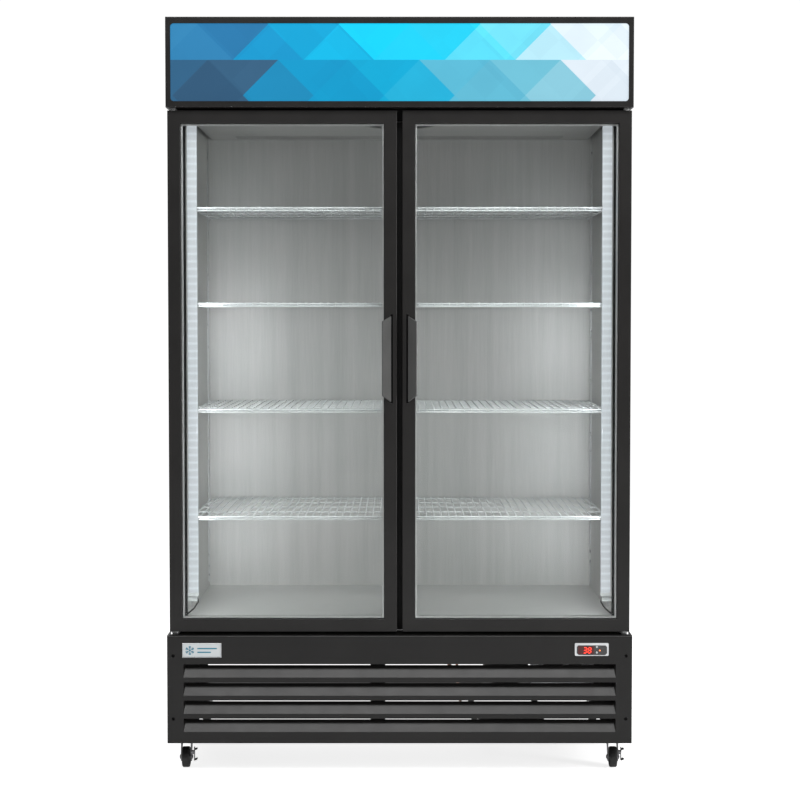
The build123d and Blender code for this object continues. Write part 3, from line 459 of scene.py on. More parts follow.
# ---- mesh building ----
class Shape:
    """Collects closed forms into one mesh; each form has its own material."""

    def __init__(self):
        self.mesh = bmesh.new()
        self.materials = []

    def _index(self, material):
        if material not in self.materials:
            self.materials.append(material)
        return self.materials.index(material)

    def _finish(self, faces, material, bevel, segments, smooth):
        """Gives the faces their material, and rolls their sharp edges by bevel millimetres."""
        index = self._index(material)
        faces = list(faces)
        for face in faces:
            face.material_index = index
            face.smooth = smooth
        if bevel:
            edges = {e for f in faces for e in f.edges if e.calc_face_angle(0) > math.radians(25)}
            made = bmesh.ops.bevel(self.mesh, geom=list(edges), offset=bevel * MM, segments=segments,
                                   profile=0.5, affect="EDGES", clamp_overlap=True)
            for face in made["faces"]:
                face.material_index = index
                face.smooth = True

    def grid(self, loops, material, closed=False, bevel=0.0, segments=2, smooth=True):
        """Skins a row of equal loops: closed joins the last to the first, otherwise both are capped."""
        rows = [[self.mesh.verts.new(p) for p in loop] for loop in loops]
        pairs = list(zip(rows, rows[1:] + rows[:1])) if closed else list(zip(rows, rows[1:]))
        faces = []
        for a, b in pairs:
            for i in range(len(a)):
                j = (i + 1) % len(a)
                faces.append(self.mesh.faces.new((a[i], a[j], b[j], b[i])))
        if not closed:
            faces.append(self.mesh.faces.new(rows[0][::-1]))
            faces.append(self.mesh.faces.new(rows[-1]))
        bmesh.ops.recalc_face_normals(self.mesh, faces=faces)
        self._finish(faces, material, bevel, segments, smooth)

    def box(self, low, high, material, bevel=0.0, segments=2):
        (x0, y0, z0), (x1, y1, z1) = low, high
        loops = [[(x0, y0, z), (x1, y0, z), (x1, y1, z), (x0, y1, z)] for z in (z0, z1)]
        self.grid(loops, material, bevel=bevel, segments=segments, smooth=False)

    def prism(self, outline, place, length, material, bevel=0.0, smooth=False):
        """outline is a list of (u, v); place(u, v, w) gives the point, with w from 0 to length."""
        loops = [[place(u, v, w) for u, v in outline] for w in (0.0, length)]
        self.grid(loops, material, bevel=bevel, smooth=smooth)

    def lathe(self, profile, centre, axis, material, steps=48):
        """Turns a closed outline of (radius, height) points about an axis."""
        turn = Vector(axis).to_track_quat("Z", "Y").to_matrix()
        centre = Vector(centre)
        loops = [[centre + turn @ Vector((r * math.cos(angle), r * math.sin(angle), h)) for r, h in profile]
                 for angle in turns(steps)]
        self.grid(loops, material, closed=True)

    def tube(self, points, radius, material, sides=10, closed=False):
        """A round bar along points, turned as little as possible from one to the next."""
        points = [Vector(p) for p in points]
        count = len(points)
        headings = []
        for i in range(count):
            before = points[i] - points[i - 1] if (i or closed) else points[1] - points[0]
            after = points[(i + 1) % count] - points[i] if (i < count - 1 or closed) else before
            headings.append((before.normalized() + after.normalized()).normalized())
        side = headings[0].orthogonal().normalized()
        loops = []
        for point, heading in zip(points, headings):
            side = (side - heading * side.dot(heading)).normalized()
            other = heading.cross(side)
            loops.append([point + (side * math.cos(a) + other * math.sin(a)) * radius for a in turns(sides)])
        self.grid(loops, material, closed=closed)

    def moulding(self, low, high, profile, material, bevel=0.0):
        """A mitred frame round a box's front view: profile is a closed outline of (inset, y)."""
        loops = []
        for x, z, sx, sz in ((low.x, low.z, 1, 1), (high.x, low.z, -1, 1), (high.x, high.z, -1, -1),
                             (low.x, high.z, 1, -1)):
            loops.append([(x + sx * inset, y, z + sz * inset) for inset, y in profile])
        self.grid(loops, material, closed=True, bevel=bevel, smooth=False)

    def add(self, name, body, replaces=(), slot=None):
        """Makes the piece, parents it to what it moves with, and hides the nodes it replaces."""
        for edge in self.mesh.edges:
            edge.smooth = edge.calc_face_angle(0) < math.radians(32)
        data = bpy.data.meshes.new(name)
        self.mesh.to_mesh(data)
        self.mesh.free()
        for material in self.materials:
            data.materials.append(material)
        piece = bpy.data.objects.new(name, data)
        bpy.context.scene.collection.objects.link(piece)
        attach(piece, body)
        if replaces:
            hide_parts(*replaces)


def mirrored(half):
    """A profile and its mirror image about height 0, as one outline."""
    return half + [(u, -v) for u, v in reversed(half)]


def rounded(points, radius, steps, closed=False):
    """Replaces each corner of a path by an arc of short runs."""
    points = [Vector(p) for p in points]
    count = len(points)
    path = []
    for i, point in enumerate(points):
        if not closed and i in (0, count - 1):
            path.append(point)
            continue
        before = (points[i - 1] - point).normalized()
        after = (points[(i + 1) % count] - point).normalized()
        half = before.angle(after) / 2
        reach = radius / math.tan(half)
        centre = point + (before + after).normalized() * radius / math.sin(half)
        start, end = point + before * reach - centre, point + after * reach - centre
        sweep = start.angle(end)
        for k in range(steps + 1):
            turned = start * math.sin(sweep * (1 - k / steps)) + end * math.sin(sweep * k / steps)
            path.append(centre + turned / math.sin(sweep))
    return path


# ---- cabinet pieces ----
LINER_SHEET = 1.2 * MM
LED_TOP = 1741.0 * MM
LED_WIDTH = 29.0            # out from the wall, in millimetres
LED_DEPTH = 22.0            # from front to back, in millimetres
LED_PITCH = 20.0 * MM
LED_CAP = 9.0 * MM
SIGN_STRIP_Z = (1.835, 1.930)
SIGN_STRIP_HALF = 0.59
SHELF_WIRES = 26
SHELVES = 4                 # behind each door


def light_bars():
    """Two upright light bars: an aluminium channel, a frosted cover and end caps, and the sign's strips."""
    low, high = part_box("led_light_bars")
    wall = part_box("inner_liner")[1].x - LINER_SHEET
    front, bottom = low.y, low.z
    length = LED_TOP - bottom
    cover = led_diffuser("led_cover", LED_PITCH, bottom + 12 * MM, (0.88, 0.93, 1.0), 0.56)
    out, deep = LED_WIDTH, LED_DEPTH
    channel = mm((0, 0), (0, deep), (7, deep), (out, 9), (out, 4), (3, 4), (3, 0))
    lens = mm((3.4, 0.4), (3.4, 3.6), (out - 0.4, 3.6), (out + 0.8, 2.4), (out - 1, -0.6), (8, -1.6))
    cap = mm((0, -1.8), (0, deep), (8, deep), (out + 1, 9), (out + 1, -1.8))
    lead = mm((24, 9, -8), (28, 9, -26), (16, 9, -44), (-1, 9, -58))
    shape = Shape()
    for _, side in SIDES:
        def place(u, v, w, side=side):
            return (side * (wall - u), front + v, bottom + w)
        shape.prism(channel, place, length, ALUMINIUM)
        shape.prism(lens, place, length - 1 * MM, cover, smooth=True)
        shape.prism(cap, lambda u, v, w: place(u, v, w - LED_CAP), LED_CAP, CONTROL, bevel=0.8)
        near, far = sorted((side * (wall - 26 * MM), side * wall))
        shape.box((near, front + 4 * MM, bottom - 24 * MM), (far, front + 6 * MM, bottom - LED_CAP), CONTROL,
                  bevel=0.4)
        shape.tube(rounded([place(*point) for point in lead], 7 * MM, 4), 2.2 * MM, PLASTIC, 8)
    for z in SIGN_STRIP_Z:
        shape.box((-SIGN_STRIP_HALF, high.y - 7.5 * MM, z), (SIGN_STRIP_HALF, high.y, z + 14 * MM), cover,
                  bevel=1)
    shape.add("light_bar_assembly", "cabinet", ["led_light_bars"], "led_diffuser")


def wire_shelf(side, number):
    """A round-wire shelf: rim, close wires bent over the front, three cross bars, second front rail."""
    node = f"{side}_shelf_{number}"
    low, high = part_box(node)
    top, wire, rim = high.z, 1.45 * MM, 2.5 * MM
    rim_z = top - 2 * wire - rim + 0.8 * MM
    x0, x1 = low.x + rim, high.x - rim
    y0, y1 = low.y + rim, high.y - rim
    drop = low.z + 2.0 * MM
    past = 1 * MM               # of the wires over the rim
    shape = Shape()
    corners = [(x0, y0, rim_z), (x1, y0, rim_z), (x1, y1, rim_z), (x0, y1, rim_z)]
    shape.tube(rounded(corners, 12 * MM, 4, closed=True), rim, WIRE, 10, closed=True)
    for i in range(1, SHELF_WIRES + 1):
        x = x0 + (x1 - x0) * i / (SHELF_WIRES + 1)
        path = [(x, y1 + past, top - wire), (x, y0 - past, top - wire), (x, y0 - past, drop)]
        shape.tube(rounded(path, 3 * MM, 3), wire, WIRE, 8)
    for share in (0.25, 0.5, 0.75):
        depth = y0 + (y1 - y0) * share
        shape.tube([(x0, depth, rim_z), (x1, depth, rim_z)], 2.0 * MM, WIRE, 8)
    inset = 15 * MM
    rail_y = y0 + 0.6 * MM
    shape.tube([(x0 + inset, rail_y, drop), (x1 - inset, rail_y, drop)], 1.9 * MM, WIRE, 8)
    shape.add(f"{side}_wire_shelf_{number}", "cabinet", [node], "shelf_wire")


# ---- doors ----
PANE = 4 * MM
DOOR_RAIL = 33 * MM         # width of the door's frame
GLASS_POCKET = 20 * MM      # how far the frame covers the glass unit


def glass_unit(side):
    """Two panes with ground edges, an aluminium spacer between them, and the black seal behind it."""
    node = f"{side}_door_glass_unit"
    low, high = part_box(node)
    body = f"{side}_door"
    for name, y in (("outer", low.y), ("inner", high.y - PANE)):
        shape = Shape()
        shape.box((low.x, y, low.z), (high.x, y + PANE, high.z), GLASS, bevel=0.6, segments=1)
        shape.add(f"{side}_door_{name}_pane", body, [node] if name == "outer" else [], "glass")
    y0, y1 = low.y + PANE, high.y - PANE
    gap = 0.3 * MM
    outer, inner = GLASS_POCKET, GLASS_POCKET + 5.2 * MM
    spacer = [(outer, y0 + gap), (inner, y0 + gap), (inner, y1 - gap), (outer, y1 - gap)]
    edge = 9.8 * MM
    seal = [(edge, y0), (outer, y0), (outer, y1), (edge, y1)]
    shape = Shape()
    shape.moulding(low, high, spacer, ALUMINIUM, bevel=0.5)
    shape.moulding(low, high, seal, BUTYL)
    shape.add(f"{side}_door_spacer", body)


def door_seals(side):
    """The glazing beads that grip both panes, and the bellows gasket on the door's back."""
    body = f"{side}_door"
    low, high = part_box(f"{side}_door_frame")
    glass_front, glass_back = (corner.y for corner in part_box(f"{side}_door_glass_unit"))
    shape = Shape()
    for face, section in ((glass_front, mm((-1, -3.2), (0.9, -2.2), (2.0, 0), (-1, 0))),
                          (glass_back, mm((-1, 0), (2.0, 0), (0.9, 2.2), (-1, 3.2)))):
        bead = [(DOOR_RAIL + inset, face + y) for inset, y in section]
        shape.moulding(low, high, bead, BUTYL)
    shape.add(f"{side}_door_glazing_bead", body, slot="gasket_rubber")
    node = f"{side}_door_gasket"
    low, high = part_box(node)
    depth = high.y - low.y
    # (millimetres in from the outer edge, share of the depth)
    bellows = [(6.5, 0.0), (6.5, 0.18), (1.6, 0.22), (0.4, 0.34), (2.2, 0.46), (0.2, 0.58), (0.9, 0.72),
               (0.0, 0.84), (0.8, 0.97), (3.0, 1.0), (15.0, 1.0), (17.2, 0.97), (18.0, 0.84), (17.1, 0.72),
               (17.8, 0.58), (15.8, 0.46), (17.6, 0.34), (16.4, 0.22), (11.5, 0.18), (11.5, 0.0)]
    shape = Shape()
    shape.moulding(low, high, [(u * MM, low.y + v * depth) for u, v in bellows], GASKET)
    shape.add(f"{side}_door_bellows_gasket", body, [node], "gasket_rubber")


def name_plate_emblem():
    """A snowflake and two bars on the name plate, inside a bright rim."""
    low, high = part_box("name_plate")
    front = low.y
    shape = Shape()
    centre = (low.x + 20 * MM, (low.z + high.z) / 2)
    arm = 12 * MM
    thick = 0.7 * MM
    for k in range(6):
        angle = math.radians(60 * k + 30)
        along = Vector((math.cos(angle), math.sin(angle)))
        across = Vector((-along.y, along.x))
        bars = [((0.0, 0.0), (arm, 0.0))]
        for reach in (0.5, 0.75):
            for hand in (-1, 1):
                bars.append(((arm * reach, 0.0), (arm * (reach + 0.2), hand * arm * 0.24)))
        for start, end in bars:
            a = along * start[0] + across * start[1]
            b = along * end[0] + across * end[1]
            run = (b - a).normalized()
            off = Vector((-run.y, run.x)) * thick
            shape.prism([a - off, b - off, b + off, a + off],
                        lambda u, v, w: (centre[0] + u, front - w, centre[1] + v), 0.5 * MM, BADGE_BLUE)
    x = low.x + 40 * MM
    for length, lift in mm((52, 5), (36, -5)):
        z = centre[1] + lift
        shape.box((x, front - 0.5 * MM, z - 1.6 * MM), (x + length, front, z + 1.6 * MM), BADGE_BLUE,
                  bevel=0.2)
    section = mm((0, 1), (0, -0.9), (0.6, -1.2), (1.6, -1.0), (2.0, 0), (2.0, 1))
    rim = [(inset, front + y) for inset, y in section]
    shape.moulding(low, high, rim, BADGE_RIM)
    shape.add("name_plate_emblem", "cabinet", slot="badge")


# Each bar of a seven-segment figure: across, up, and whether it stands upright.
SEGMENTS = {"top": (0, 1, 0), "middle": (0, 0, 0), "bottom": (0, -1, 0), "upper_left": (-1, 0.5, 1),
            "upper_right": (1, 0.5, 1), "lower_left": (-1, -0.5, 1), "lower_right": (1, -0.5, 1)}
FIGURES = {"3": ["top", "middle", "bottom", "upper_right", "lower_right"], "8": list(SEGMENTS)}
FIGURE_PITCH = 12.0 * MM
FIGURE_LEAN = 0.10


def figures(shape, text, x, z, y):
    """Seven-segment figures about 15 mm tall, leaning slightly."""
    half, tall = 3.7 * MM, 7.2 * MM
    thick = 0.95 * MM
    for k, character in enumerate(text):
        for name in FIGURES[character]:
            across, up, upright = SEGMENTS[name]
            length = tall * 0.42 if upright else half * 0.78
            bar = [(-length, 0), (-length + thick, -thick), (length - thick, -thick), (length, 0),
                   (length - thick, thick), (-length + thick, thick)]

            def place(u, v, w):
                du, dv = (v, u) if upright else (u, v)
                height = up * tall + dv
                return (x + k * FIGURE_PITCH + across * half + du + height * FIGURE_LEAN, y - w, z + height)
            shape.prism(bar, place, 0.15 * MM, DIGITS)


def bored_plate(shape, low, high, centre, radius, depth, material):
    """A flat plate across XZ with a round hole; low and high are (x, z) corners, depth its two faces."""
    corners = [Vector((low[0], low[1])), Vector((high[0], low[1])), Vector((high[0], high[1])),
               Vector((low[0], high[1]))]
    steps = 8
    rim = [a.lerp(b, k / steps) for a, b in zip(corners, corners[1:] + corners[:1]) for k in range(steps)]
    middle = Vector((centre.x, centre.z))
    bore = [middle + (point - middle).normalized() * radius for point in rim]
    near, far = depth
    loops = [[(point.x, y, point.y) for point in line]
             for line, y in ((rim, near), (rim, far), (bore, far), (bore, near))]
    shape.grid(loops, material, closed=True, smooth=False)


def controller_face():
    """Dark face sheet inside the light bezel, lit figures on the left and a lamp on the right.

    The two push buttons stand in holes through the sheet.
    """
    low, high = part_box("temperature_controller")
    front = low.y
    middle = (low.z + high.z) / 2
    shape = Shape()
    left, right = low.x + 5 * MM, high.x - 4.5 * MM
    bottom, top = low.z + 2.2 * MM, high.z - 6.0 * MM
    sheet = (front - 0.35 * MM, front + 0.15 * MM)
    buttons = [sum(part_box(name), Vector()) / 2 for name in ("set_button", "defrost_button")]
    strip = (buttons[0].x - 5 * MM, buttons[0].x + 5 * MM)
    split = (buttons[0].z + buttons[1].z) / 2
    for centre, span in zip(buttons, ((split, top), (bottom, split))):
        bored_plate(shape, (strip[0], span[0]), (strip[1], span[1]), centre, 3 * MM, sheet, CONTROL_FACE)
    for rim in ([(left + 5 * MM, bottom), (strip[0], bottom), (strip[0], top), (left + 4 * MM, top),
                 (left, top - 4 * MM), (left, bottom + 5 * MM)],
                [(strip[1], bottom), (right - 5 * MM, bottom), (right, bottom + 5 * MM),
                 (right, top - 4 * MM), (right - 4 * MM, top), (strip[1], top)]):
        shape.prism(rim, lambda u, v, w: (u, sheet[0] + w, v), sheet[1] - sheet[0], CONTROL_FACE)
    brow = [(left, top + 0.3 * MM), (right, top + 0.3 * MM), (right - 1.5 * MM, high.z - 1.8 * MM),
            (left + 1.5 * MM, high.z - 1.8 * MM)]
    shape.prism(brow, lambda u, v, w: (u, front - 0.7 * MM + w, v), 0.9 * MM, CONTROL, bevel=0.3)
    window = (low.x + 8.5 * MM, low.x + 51 * MM)
    shape.box((window[0], front - 0.5 * MM, bottom + 2.4 * MM), (window[1], front - 0.2 * MM, top - 2.2 * MM),
              DARK_WINDOW, bevel=0.1)
    figures(shape, "38", low.x + 27 * MM, middle - 2.0 * MM, front - 0.5 * MM)
    lamp = mm((0.1, -1.0), (1.5, -0.9), (2.1, -0.3), (2.1, 0.5), (0.1, 0.5))
    shape.lathe(lamp, (low.x + 66.5 * MM, front, middle - 2.5 * MM), BACK, AMBER, 20)
    shape.add("controller_display", "cabinet", slot="control_plastic")


# ---- switches, screws, handles ----
def switch_marks():
    """The on and off marks on each rocker: a bar and a ring."""
    lean = math.radians(10)
    surface = 5.75 * MM         # out from the rocker's pivot
    for rocker in ("light_rocker", "power_rocker"):
        centre = pivot(f"{rocker}_tilt")

        def place(out, up, across):
            return (centre.x + out * math.cos(lean) - up * math.sin(lean),
                    centre.y + across,
                    centre.z + out * math.sin(lean) + up * math.cos(lean))
        shape = Shape()
        bar = mm((2.6, -0.4), (5.8, -0.4), (5.8, 0.4), (2.6, 0.4))
        loops = [[place(surface + out, up, across) for up, across in bar] for out in (-0.3 * MM, 0.25 * MM)]
        shape.grid(loops, WHITE_INK, smooth=False)
        ring = [place(surface + 0.05 * MM, -4.2 * MM + 1.5 * MM * math.cos(a), 1.5 * MM * math.sin(a))
                for a in turns(20)]
        shape.tube(ring, 0.35 * MM, WHITE_INK, 6, closed=True)
        shape.add(f"{rocker}_marks", rocker)


def cross_recess(shape, x, z, depth, arm, half, bevel=0.0):
    """A near-black cross in a screw's head, painted shade for its recess: arm and half are half its length
    and width, in millimetres.
    """
    near, far = depth
    for wide, tall in mm((arm, half), (half, arm)):
        shape.box((x - wide, near, z - tall), (x + wide, far, z + tall), SHADOW_BLACK, bevel=bevel)


def panel_screw_heads():
    """Black pan-head screws with a cross recess, on the louvre panel."""
    low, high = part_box("panel_screws")
    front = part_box("louvre_panel")[0].y
    radius = 4.5 * MM
    screw = mm((1.5, -1.4), (2.6, -2.1), (3.7, -1.7), (4.4, -0.8), (4.5, 0), (2.0, 0), (2.0, 8), (0.2, 8),
               (0.2, -0.6), (1.2, -0.6))
    shape = Shape()
    for x in (low.x + radius, high.x - radius):
        for z in (low.z + radius, high.z - radius):
            shape.lathe(screw, (x, front, z), BACK, SCREW, 28)
            cross_recess(shape, x, z, (front - 2.2 * MM, front - 1.2 * MM), 2.3, 0.45, bevel=0.1)
    shape.add("louvre_panel_screws", "cabinet", ["panel_screws"], "black_plastic")


def hinges():
    """Zinc hinge plates with a narrow nose, screwed legs, pins, and nylon bushes that carry the doors."""
    low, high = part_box("hinge_brackets")
    door_low, door_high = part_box("right_door_frame")
    pivot_at = pivot("right_door_hinge")
    plate = 3 * MM
    leg = 38 * MM
    wide = 7.5 * MM             # half the nose
    tip = pivot_at.y - 15 * MM
    neck, root = pivot_at.y - 4 * MM, pivot_at.y + 6 * MM
    chamfer = 2 * MM
    # The level of a plate, and the heights of its leg, its pin and its bush.
    upper = (high.z - plate, (high.z - leg, high.z), (high.z - 25 * MM, high.z - 0.6 * MM),
             (door_high.z + 0.5 * MM, high.z - plate))
    lower = (low.z, (low.z, low.z + leg), (low.z + 0.6 * MM, low.z + 26 * MM),
             (low.z + 2.5 * MM, door_low.z - 0.4 * MM))
    shape = Shape()
    for _, side in SIDES:
        axis = Vector((side * abs(pivot_at.x), pivot_at.y, 0))
        outer = side * (high.x - 0.2 * MM)
        inner = side * (high.x - 23 * MM)
        left, right = axis.x - side * wide, axis.x + side * wide
        outline = [(inner, high.y), (inner, root), (left, neck), (left, tip + chamfer),
                   (left + side * chamfer, tip), (right - side * chamfer, tip), (right, tip + chamfer),
                   (right, neck), (outer, root), (outer, high.y)]
        near, far = sorted((side * (high.x - 9 * MM), outer))
        for level, leg_z, pin, bush in (upper, lower):
            shape.prism(outline, lambda u, v, w: (u, v, level + w), plate * 0.97, ZINC, bevel=0.35)
            shape.box((near, high.y - 3 * MM, leg_z[0]), (far, high.y, leg_z[1]), ZINC, bevel=0.4)
            ease = 0.6 * MM
            rod = [(0.2 * MM, pin[0]), (4.4 * MM, pin[0]), (4.9 * MM, pin[0] + ease),
                   (4.9 * MM, pin[1] - ease), (4.4 * MM, pin[1]), (0.2 * MM, pin[1])]
            shape.lathe(rod, axis, UP, ZINC, 28)
            collar = [(5.0 * MM, bush[0]), (7.2 * MM, bush[0]), (7.6 * MM, bush[0] + 0.5 * MM),
                      (7.6 * MM, bush[1]), (5.0 * MM, bush[1])]
            shape.lathe(collar, axis, UP, BUSH, 32)
    shape.add("hinge_hardware", "cabinet", ["hinge_brackets"], "black_frame")


def handle_grooves():
    """A flat near-black strip in the finger groove between each handle blade and its stile: painted shadow.
    """
    x0, x1 = 18.0 * MM, 24.4 * MM
    for side, sign in SIDES:
        low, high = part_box(f"{side}_door_handle")
        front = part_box(f"{side}_door_frame")[0].y - 0.15 * MM
        z0, z1 = low.z + 0.6 * MM, high.z - 0.6 * MM
        shape = Shape()
        # Painted shadow: a near-black strip lies over the groove.
        shape.prism([(x0, z0), (x1, z0), (x1, z1), (x0, z1)], lambda u, v, w: (sign * u, front + w, v),
                    0.6 * MM, SHADOW_BLACK, bevel=0.1)
        shape.add(f"{side}_handle_groove_shadow", f"{side}_door")


# ---- machine bay ----
FAN_BLADES = 5


def fan_wheel(node, axis, radius, hub, name):
    """Five swept, cambered blades on a domed hub."""
    turn = Vector(axis).to_track_quat("Z", "Y").to_matrix()
    centre = pivot(f"{node}_spin")
    shape = Shape()
    dome = [(3.0 * MM, -9 * MM), (hub - 2 * MM, -9 * MM), (hub, -7 * MM), (hub, 7 * MM),
            (hub - 3 * MM, 9 * MM), (3.0 * MM, 10 * MM)]
    shape.lathe(dome, centre, axis, PLASTIC, 40)
    steps = 7
    over = [k / steps for k in range(-steps, steps + 1)]
    half_depth = 11 * MM
    for start in turns(FAN_BLADES):
        loops = []
        for k in range(steps + 1):
            out = k / steps
            r = hub - 1.5 * MM + (radius - hub + 1.0 * MM) * k / steps
            chord = (15 + 9 * math.sin(math.pi * (0.25 + 0.6 * out))) * MM
            pitch = math.radians(38 - 14 * out)
            sweep = 0.30 * out ** 1.5
            loop = []
            for skin, order in ((0.7 * MM, over), (-0.7 * MM, over[::-1])):
                for t in order:
                    angle = start + sweep + t * chord * math.cos(pitch) / r
                    camber = 2.0 * MM * (1 - t * t)
                    high = t * chord * math.sin(pitch) + camber + skin * (1 - 0.7 * abs(t))
                    high = max(-half_depth, min(half_depth, high))
                    loop.append(centre + turn @ Vector((r * math.cos(angle), r * math.sin(angle), high)))
            loops.append(loop)
        shape.grid(loops, PLASTIC)
    shape.add(name, node, [node], "fan_plastic")


def compressor():
    """The weld seam, suction and discharge stubs, and mounting bolts of the compressor."""
    low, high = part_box("compressor")
    centre = Vector(((low.x + high.x) / 2, (low.y + high.y) / 2, 0))
    radius = 68 * MM
    seam_z = 188 * MM
    shape = Shape()
    weld = mm((-0.6, -3), (1.4, -2), (1.8, 0), (1.4, 2), (-0.6, 3))
    shape.lathe([(radius + u, seam_z + v) for u, v in weld], centre, UP, COMPRESSOR, 72)
    bolt = mm((0.4, 124), (6.5, 124), (6.5, 125.6), (4.6, 125.8), (4.6, 129), (0.4, 129.4))
    for x in (-0.40, 0.40):
        for y in (-0.40, 0.40):
            foot = centre + Vector((x * (high.x - low.x), y * (high.y - low.y), 0))
            shape.lathe(bolt, foot, UP, SHADED_ZINC, 6)
    for angle, height in ((0.5, 215), (2.2, 165)):
        out = Vector((math.cos(angle), math.sin(angle), 0))
        start = centre + out * (radius - 3 * MM) + Vector((0, 0, height * MM))
        shape.tube([start, start + out * 14 * MM], 4.2 * MM, COPPER, 14)
    shape.add("compressor_fittings", "cabinet", slot="compressor_coat")


def condenser():
    """Close aluminium fins between end plates, with copper bends at both ends."""
    low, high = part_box("condenser_coil")
    shape = Shape()
    left, right = low.x + 17 * MM, high.x - 17 * MM
    bottom, top = low.z + 6 * MM, high.z
    fins = 52
    for k in range(fins + 1):
        x = left + (right - left) * k / fins
        thick = 0.8 * MM if k in (0, fins) else 0.25 * MM
        shape.box((x - thick, low.y + 1 * MM, bottom), (x + thick, high.y - 1 * MM, top), FINS)
    front, back = low.y + 0.5 * MM, high.y - 0.5 * MM
    for x, out in ((left, -1), (right, 1)):
        near, far = sorted((x, x + out * 14 * MM))
        shape.box((near, front, low.z), (far, back, low.z + 1.6 * MM), GALVANISED, bevel=0.3)
        shape.box((x - 0.9 * MM, front, low.z), (x + 0.9 * MM, back, bottom), GALVANISED)
    rows, levels, tube = 2, 8, 4.0 * MM
    step = (top - bottom) / levels
    for row in range(rows):
        y = low.y + (high.y - low.y) * (row + 0.5) / rows
        for level in range(levels):
            z = bottom + step * (level + 0.5)
            shape.tube([(left + 1 * MM, y, z), (right - 1 * MM, y, z)], tube, COPPER, 8)
            if level + 1 < levels:
                x, end = (left, -1) if (level + row) % 2 else (right, 1)
                inside, outside = x - end * 2 * MM, x + end * 12 * MM
                bend = [(inside, y, z), (outside, y, z), (outside, y, z + step), (inside, y, z + step)]
                shape.tube(rounded(bend, 9 * MM, 6), tube, COPPER, 10)
    shape.add("condenser_finned_coil", "cabinet", ["condenser_coil"], "coil_fins")


def sheet_screws():
    """Pan-head screws with a cross recess, round the edge of the back sheet."""
    low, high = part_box("back_panel")
    shape = Shape()
    head = mm((0.3, 1.2), (2.0, 1.1), (3.2, 0.7), (3.8, 0), (0.3, -0.5))
    spots = []
    for k in range(9):
        z = low.z + 30 * MM + (high.z - low.z - 60 * MM) * k / 8
        spots += [(low.x + 9 * MM, z), (high.x - 9 * MM, z)]
    for k in range(1, 6):
        x = low.x + (high.x - low.x) * k / 6
        spots += [(x, low.z + 12 * MM), (x, high.z - 12 * MM)]
    for x, z in spots:
        shape.lathe(head, (x, high.y, z), BACK, ZINC, 16)
        cross_recess(shape, x, z, (high.y + 0.6 * MM, high.y + 1.25 * MM), 1.8, 0.3)
    shape.add("back_sheet_screws", "cabinet")


# ---- casters ----
def caster(end, side):
    """A ribbed wheel with a rubber tread, and the nuts on its axle."""
    name = f"{end}_{side}"
    axle = pivot(f"{name}_wheel_roll")
    low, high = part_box(f"{name}_caster_wheel")
    rim = (high.z - low.z) / 2 / MM
    half = 10.0                 # of the tread's width, in millimetres
    shape = Shape()
    tread = mirrored(mm((rim - 6, -half), (rim - 2.5, -half), (rim - 0.7, 1.4 - half), (rim, 4 - half)))
    shape.lathe(tread, axle, ACROSS, TREAD, 64)
    core = mirrored(mm((4.1, -1.3 - half), (8.4, -1.3 - half), (9.6, 2.8 - half), (rim - 8, 3 - half),
                       (rim - 7, 0.5 - half), (rim - 5.8, 0.4 - half)))
    shape.lathe(core, axle, ACROSS, HUB, 48)
    rib = mm((9, -0.8), (rim - 7.4, -0.8), (rim - 7.4, 0.8), (9, 0.8))
    for angle in turns(6):
        for face in (-1, 1):
            def place(u, v, t):
                return (axle.x + face * ((half - 3.4) * MM + t),
                        axle.y + u * math.cos(angle) - v * math.sin(angle),
                        axle.z + u * math.sin(angle) + v * math.cos(angle))
            shape.prism(rib, place, 2.4 * MM, HUB, bevel=0.2)
    shape.add(f"{name}_rubber_wheel", f"{name}_wheel", [f"{name}_caster_wheel"], "wheel_rubber")
    nuts = Shape()
    nut = mm((0.3, 0), (4.6, 0), (4.6, 1.0), (3.0, 1.7), (0.3, 1.8))
    for face in (-1, 1):
        nuts.lathe(nut, axle + Vector((face * 16.5 * MM, 0, 0)), (face, 0, 0), SHADED_ZINC, 6)
    nuts.add(f"{name}_axle_nuts", f"{name}_fork", slot="zinc")


def brake(side):
    """A pressed lever beside the wheel, with a moulded pad on each of its two treads."""
    name = f"front_{side}"
    hub = pivot(f"{name}_brake_lever")
    shape = Shape()
    plate = mm((-6, -18), (-4, -20), (4, -20), (6, -18), (5, -8), (6, 0), (5, 8), (6, 13), (4, 15), (-4, 15),
               (-6, 13), (-5, 8), (-6, 0), (-5, -8))
    shape.prism(plate, lambda u, v, w: (hub.x + 2.0 * MM + w, hub.y + u, hub.z + v), 2.0 * MM, SHADED_ZINC,
                bevel=0.4)
    shape.lathe(mirrored(mm((1.9, -6), (3.2, -6), (3.6, -5.6))), hub, BACK, SHADED_ZINC, 28)
    upper_tread = mm((2.0, 6), (7, 7.4), (11, 9), (11.2, 11), (10, 12), (6.5, 11), (2.0, 9.8))
    lower_tread = mm((2.0, -22), (7, -20.4), (11, -18.4), (11.4, -16.5), (10, -15.2), (6, -17), (2.0, -18.8))
    for tread in (upper_tread, lower_tread):
        shape.prism(tread, lambda u, v, w: (hub.x + u, hub.y - 7 * MM + w, hub.z + v), 14 * MM, PLASTIC,
                    bevel=0.7)
    shape.add(f"{name}_brake_pedal", f"{name}_brake", [f"{name}_caster_brake"], "zinc")


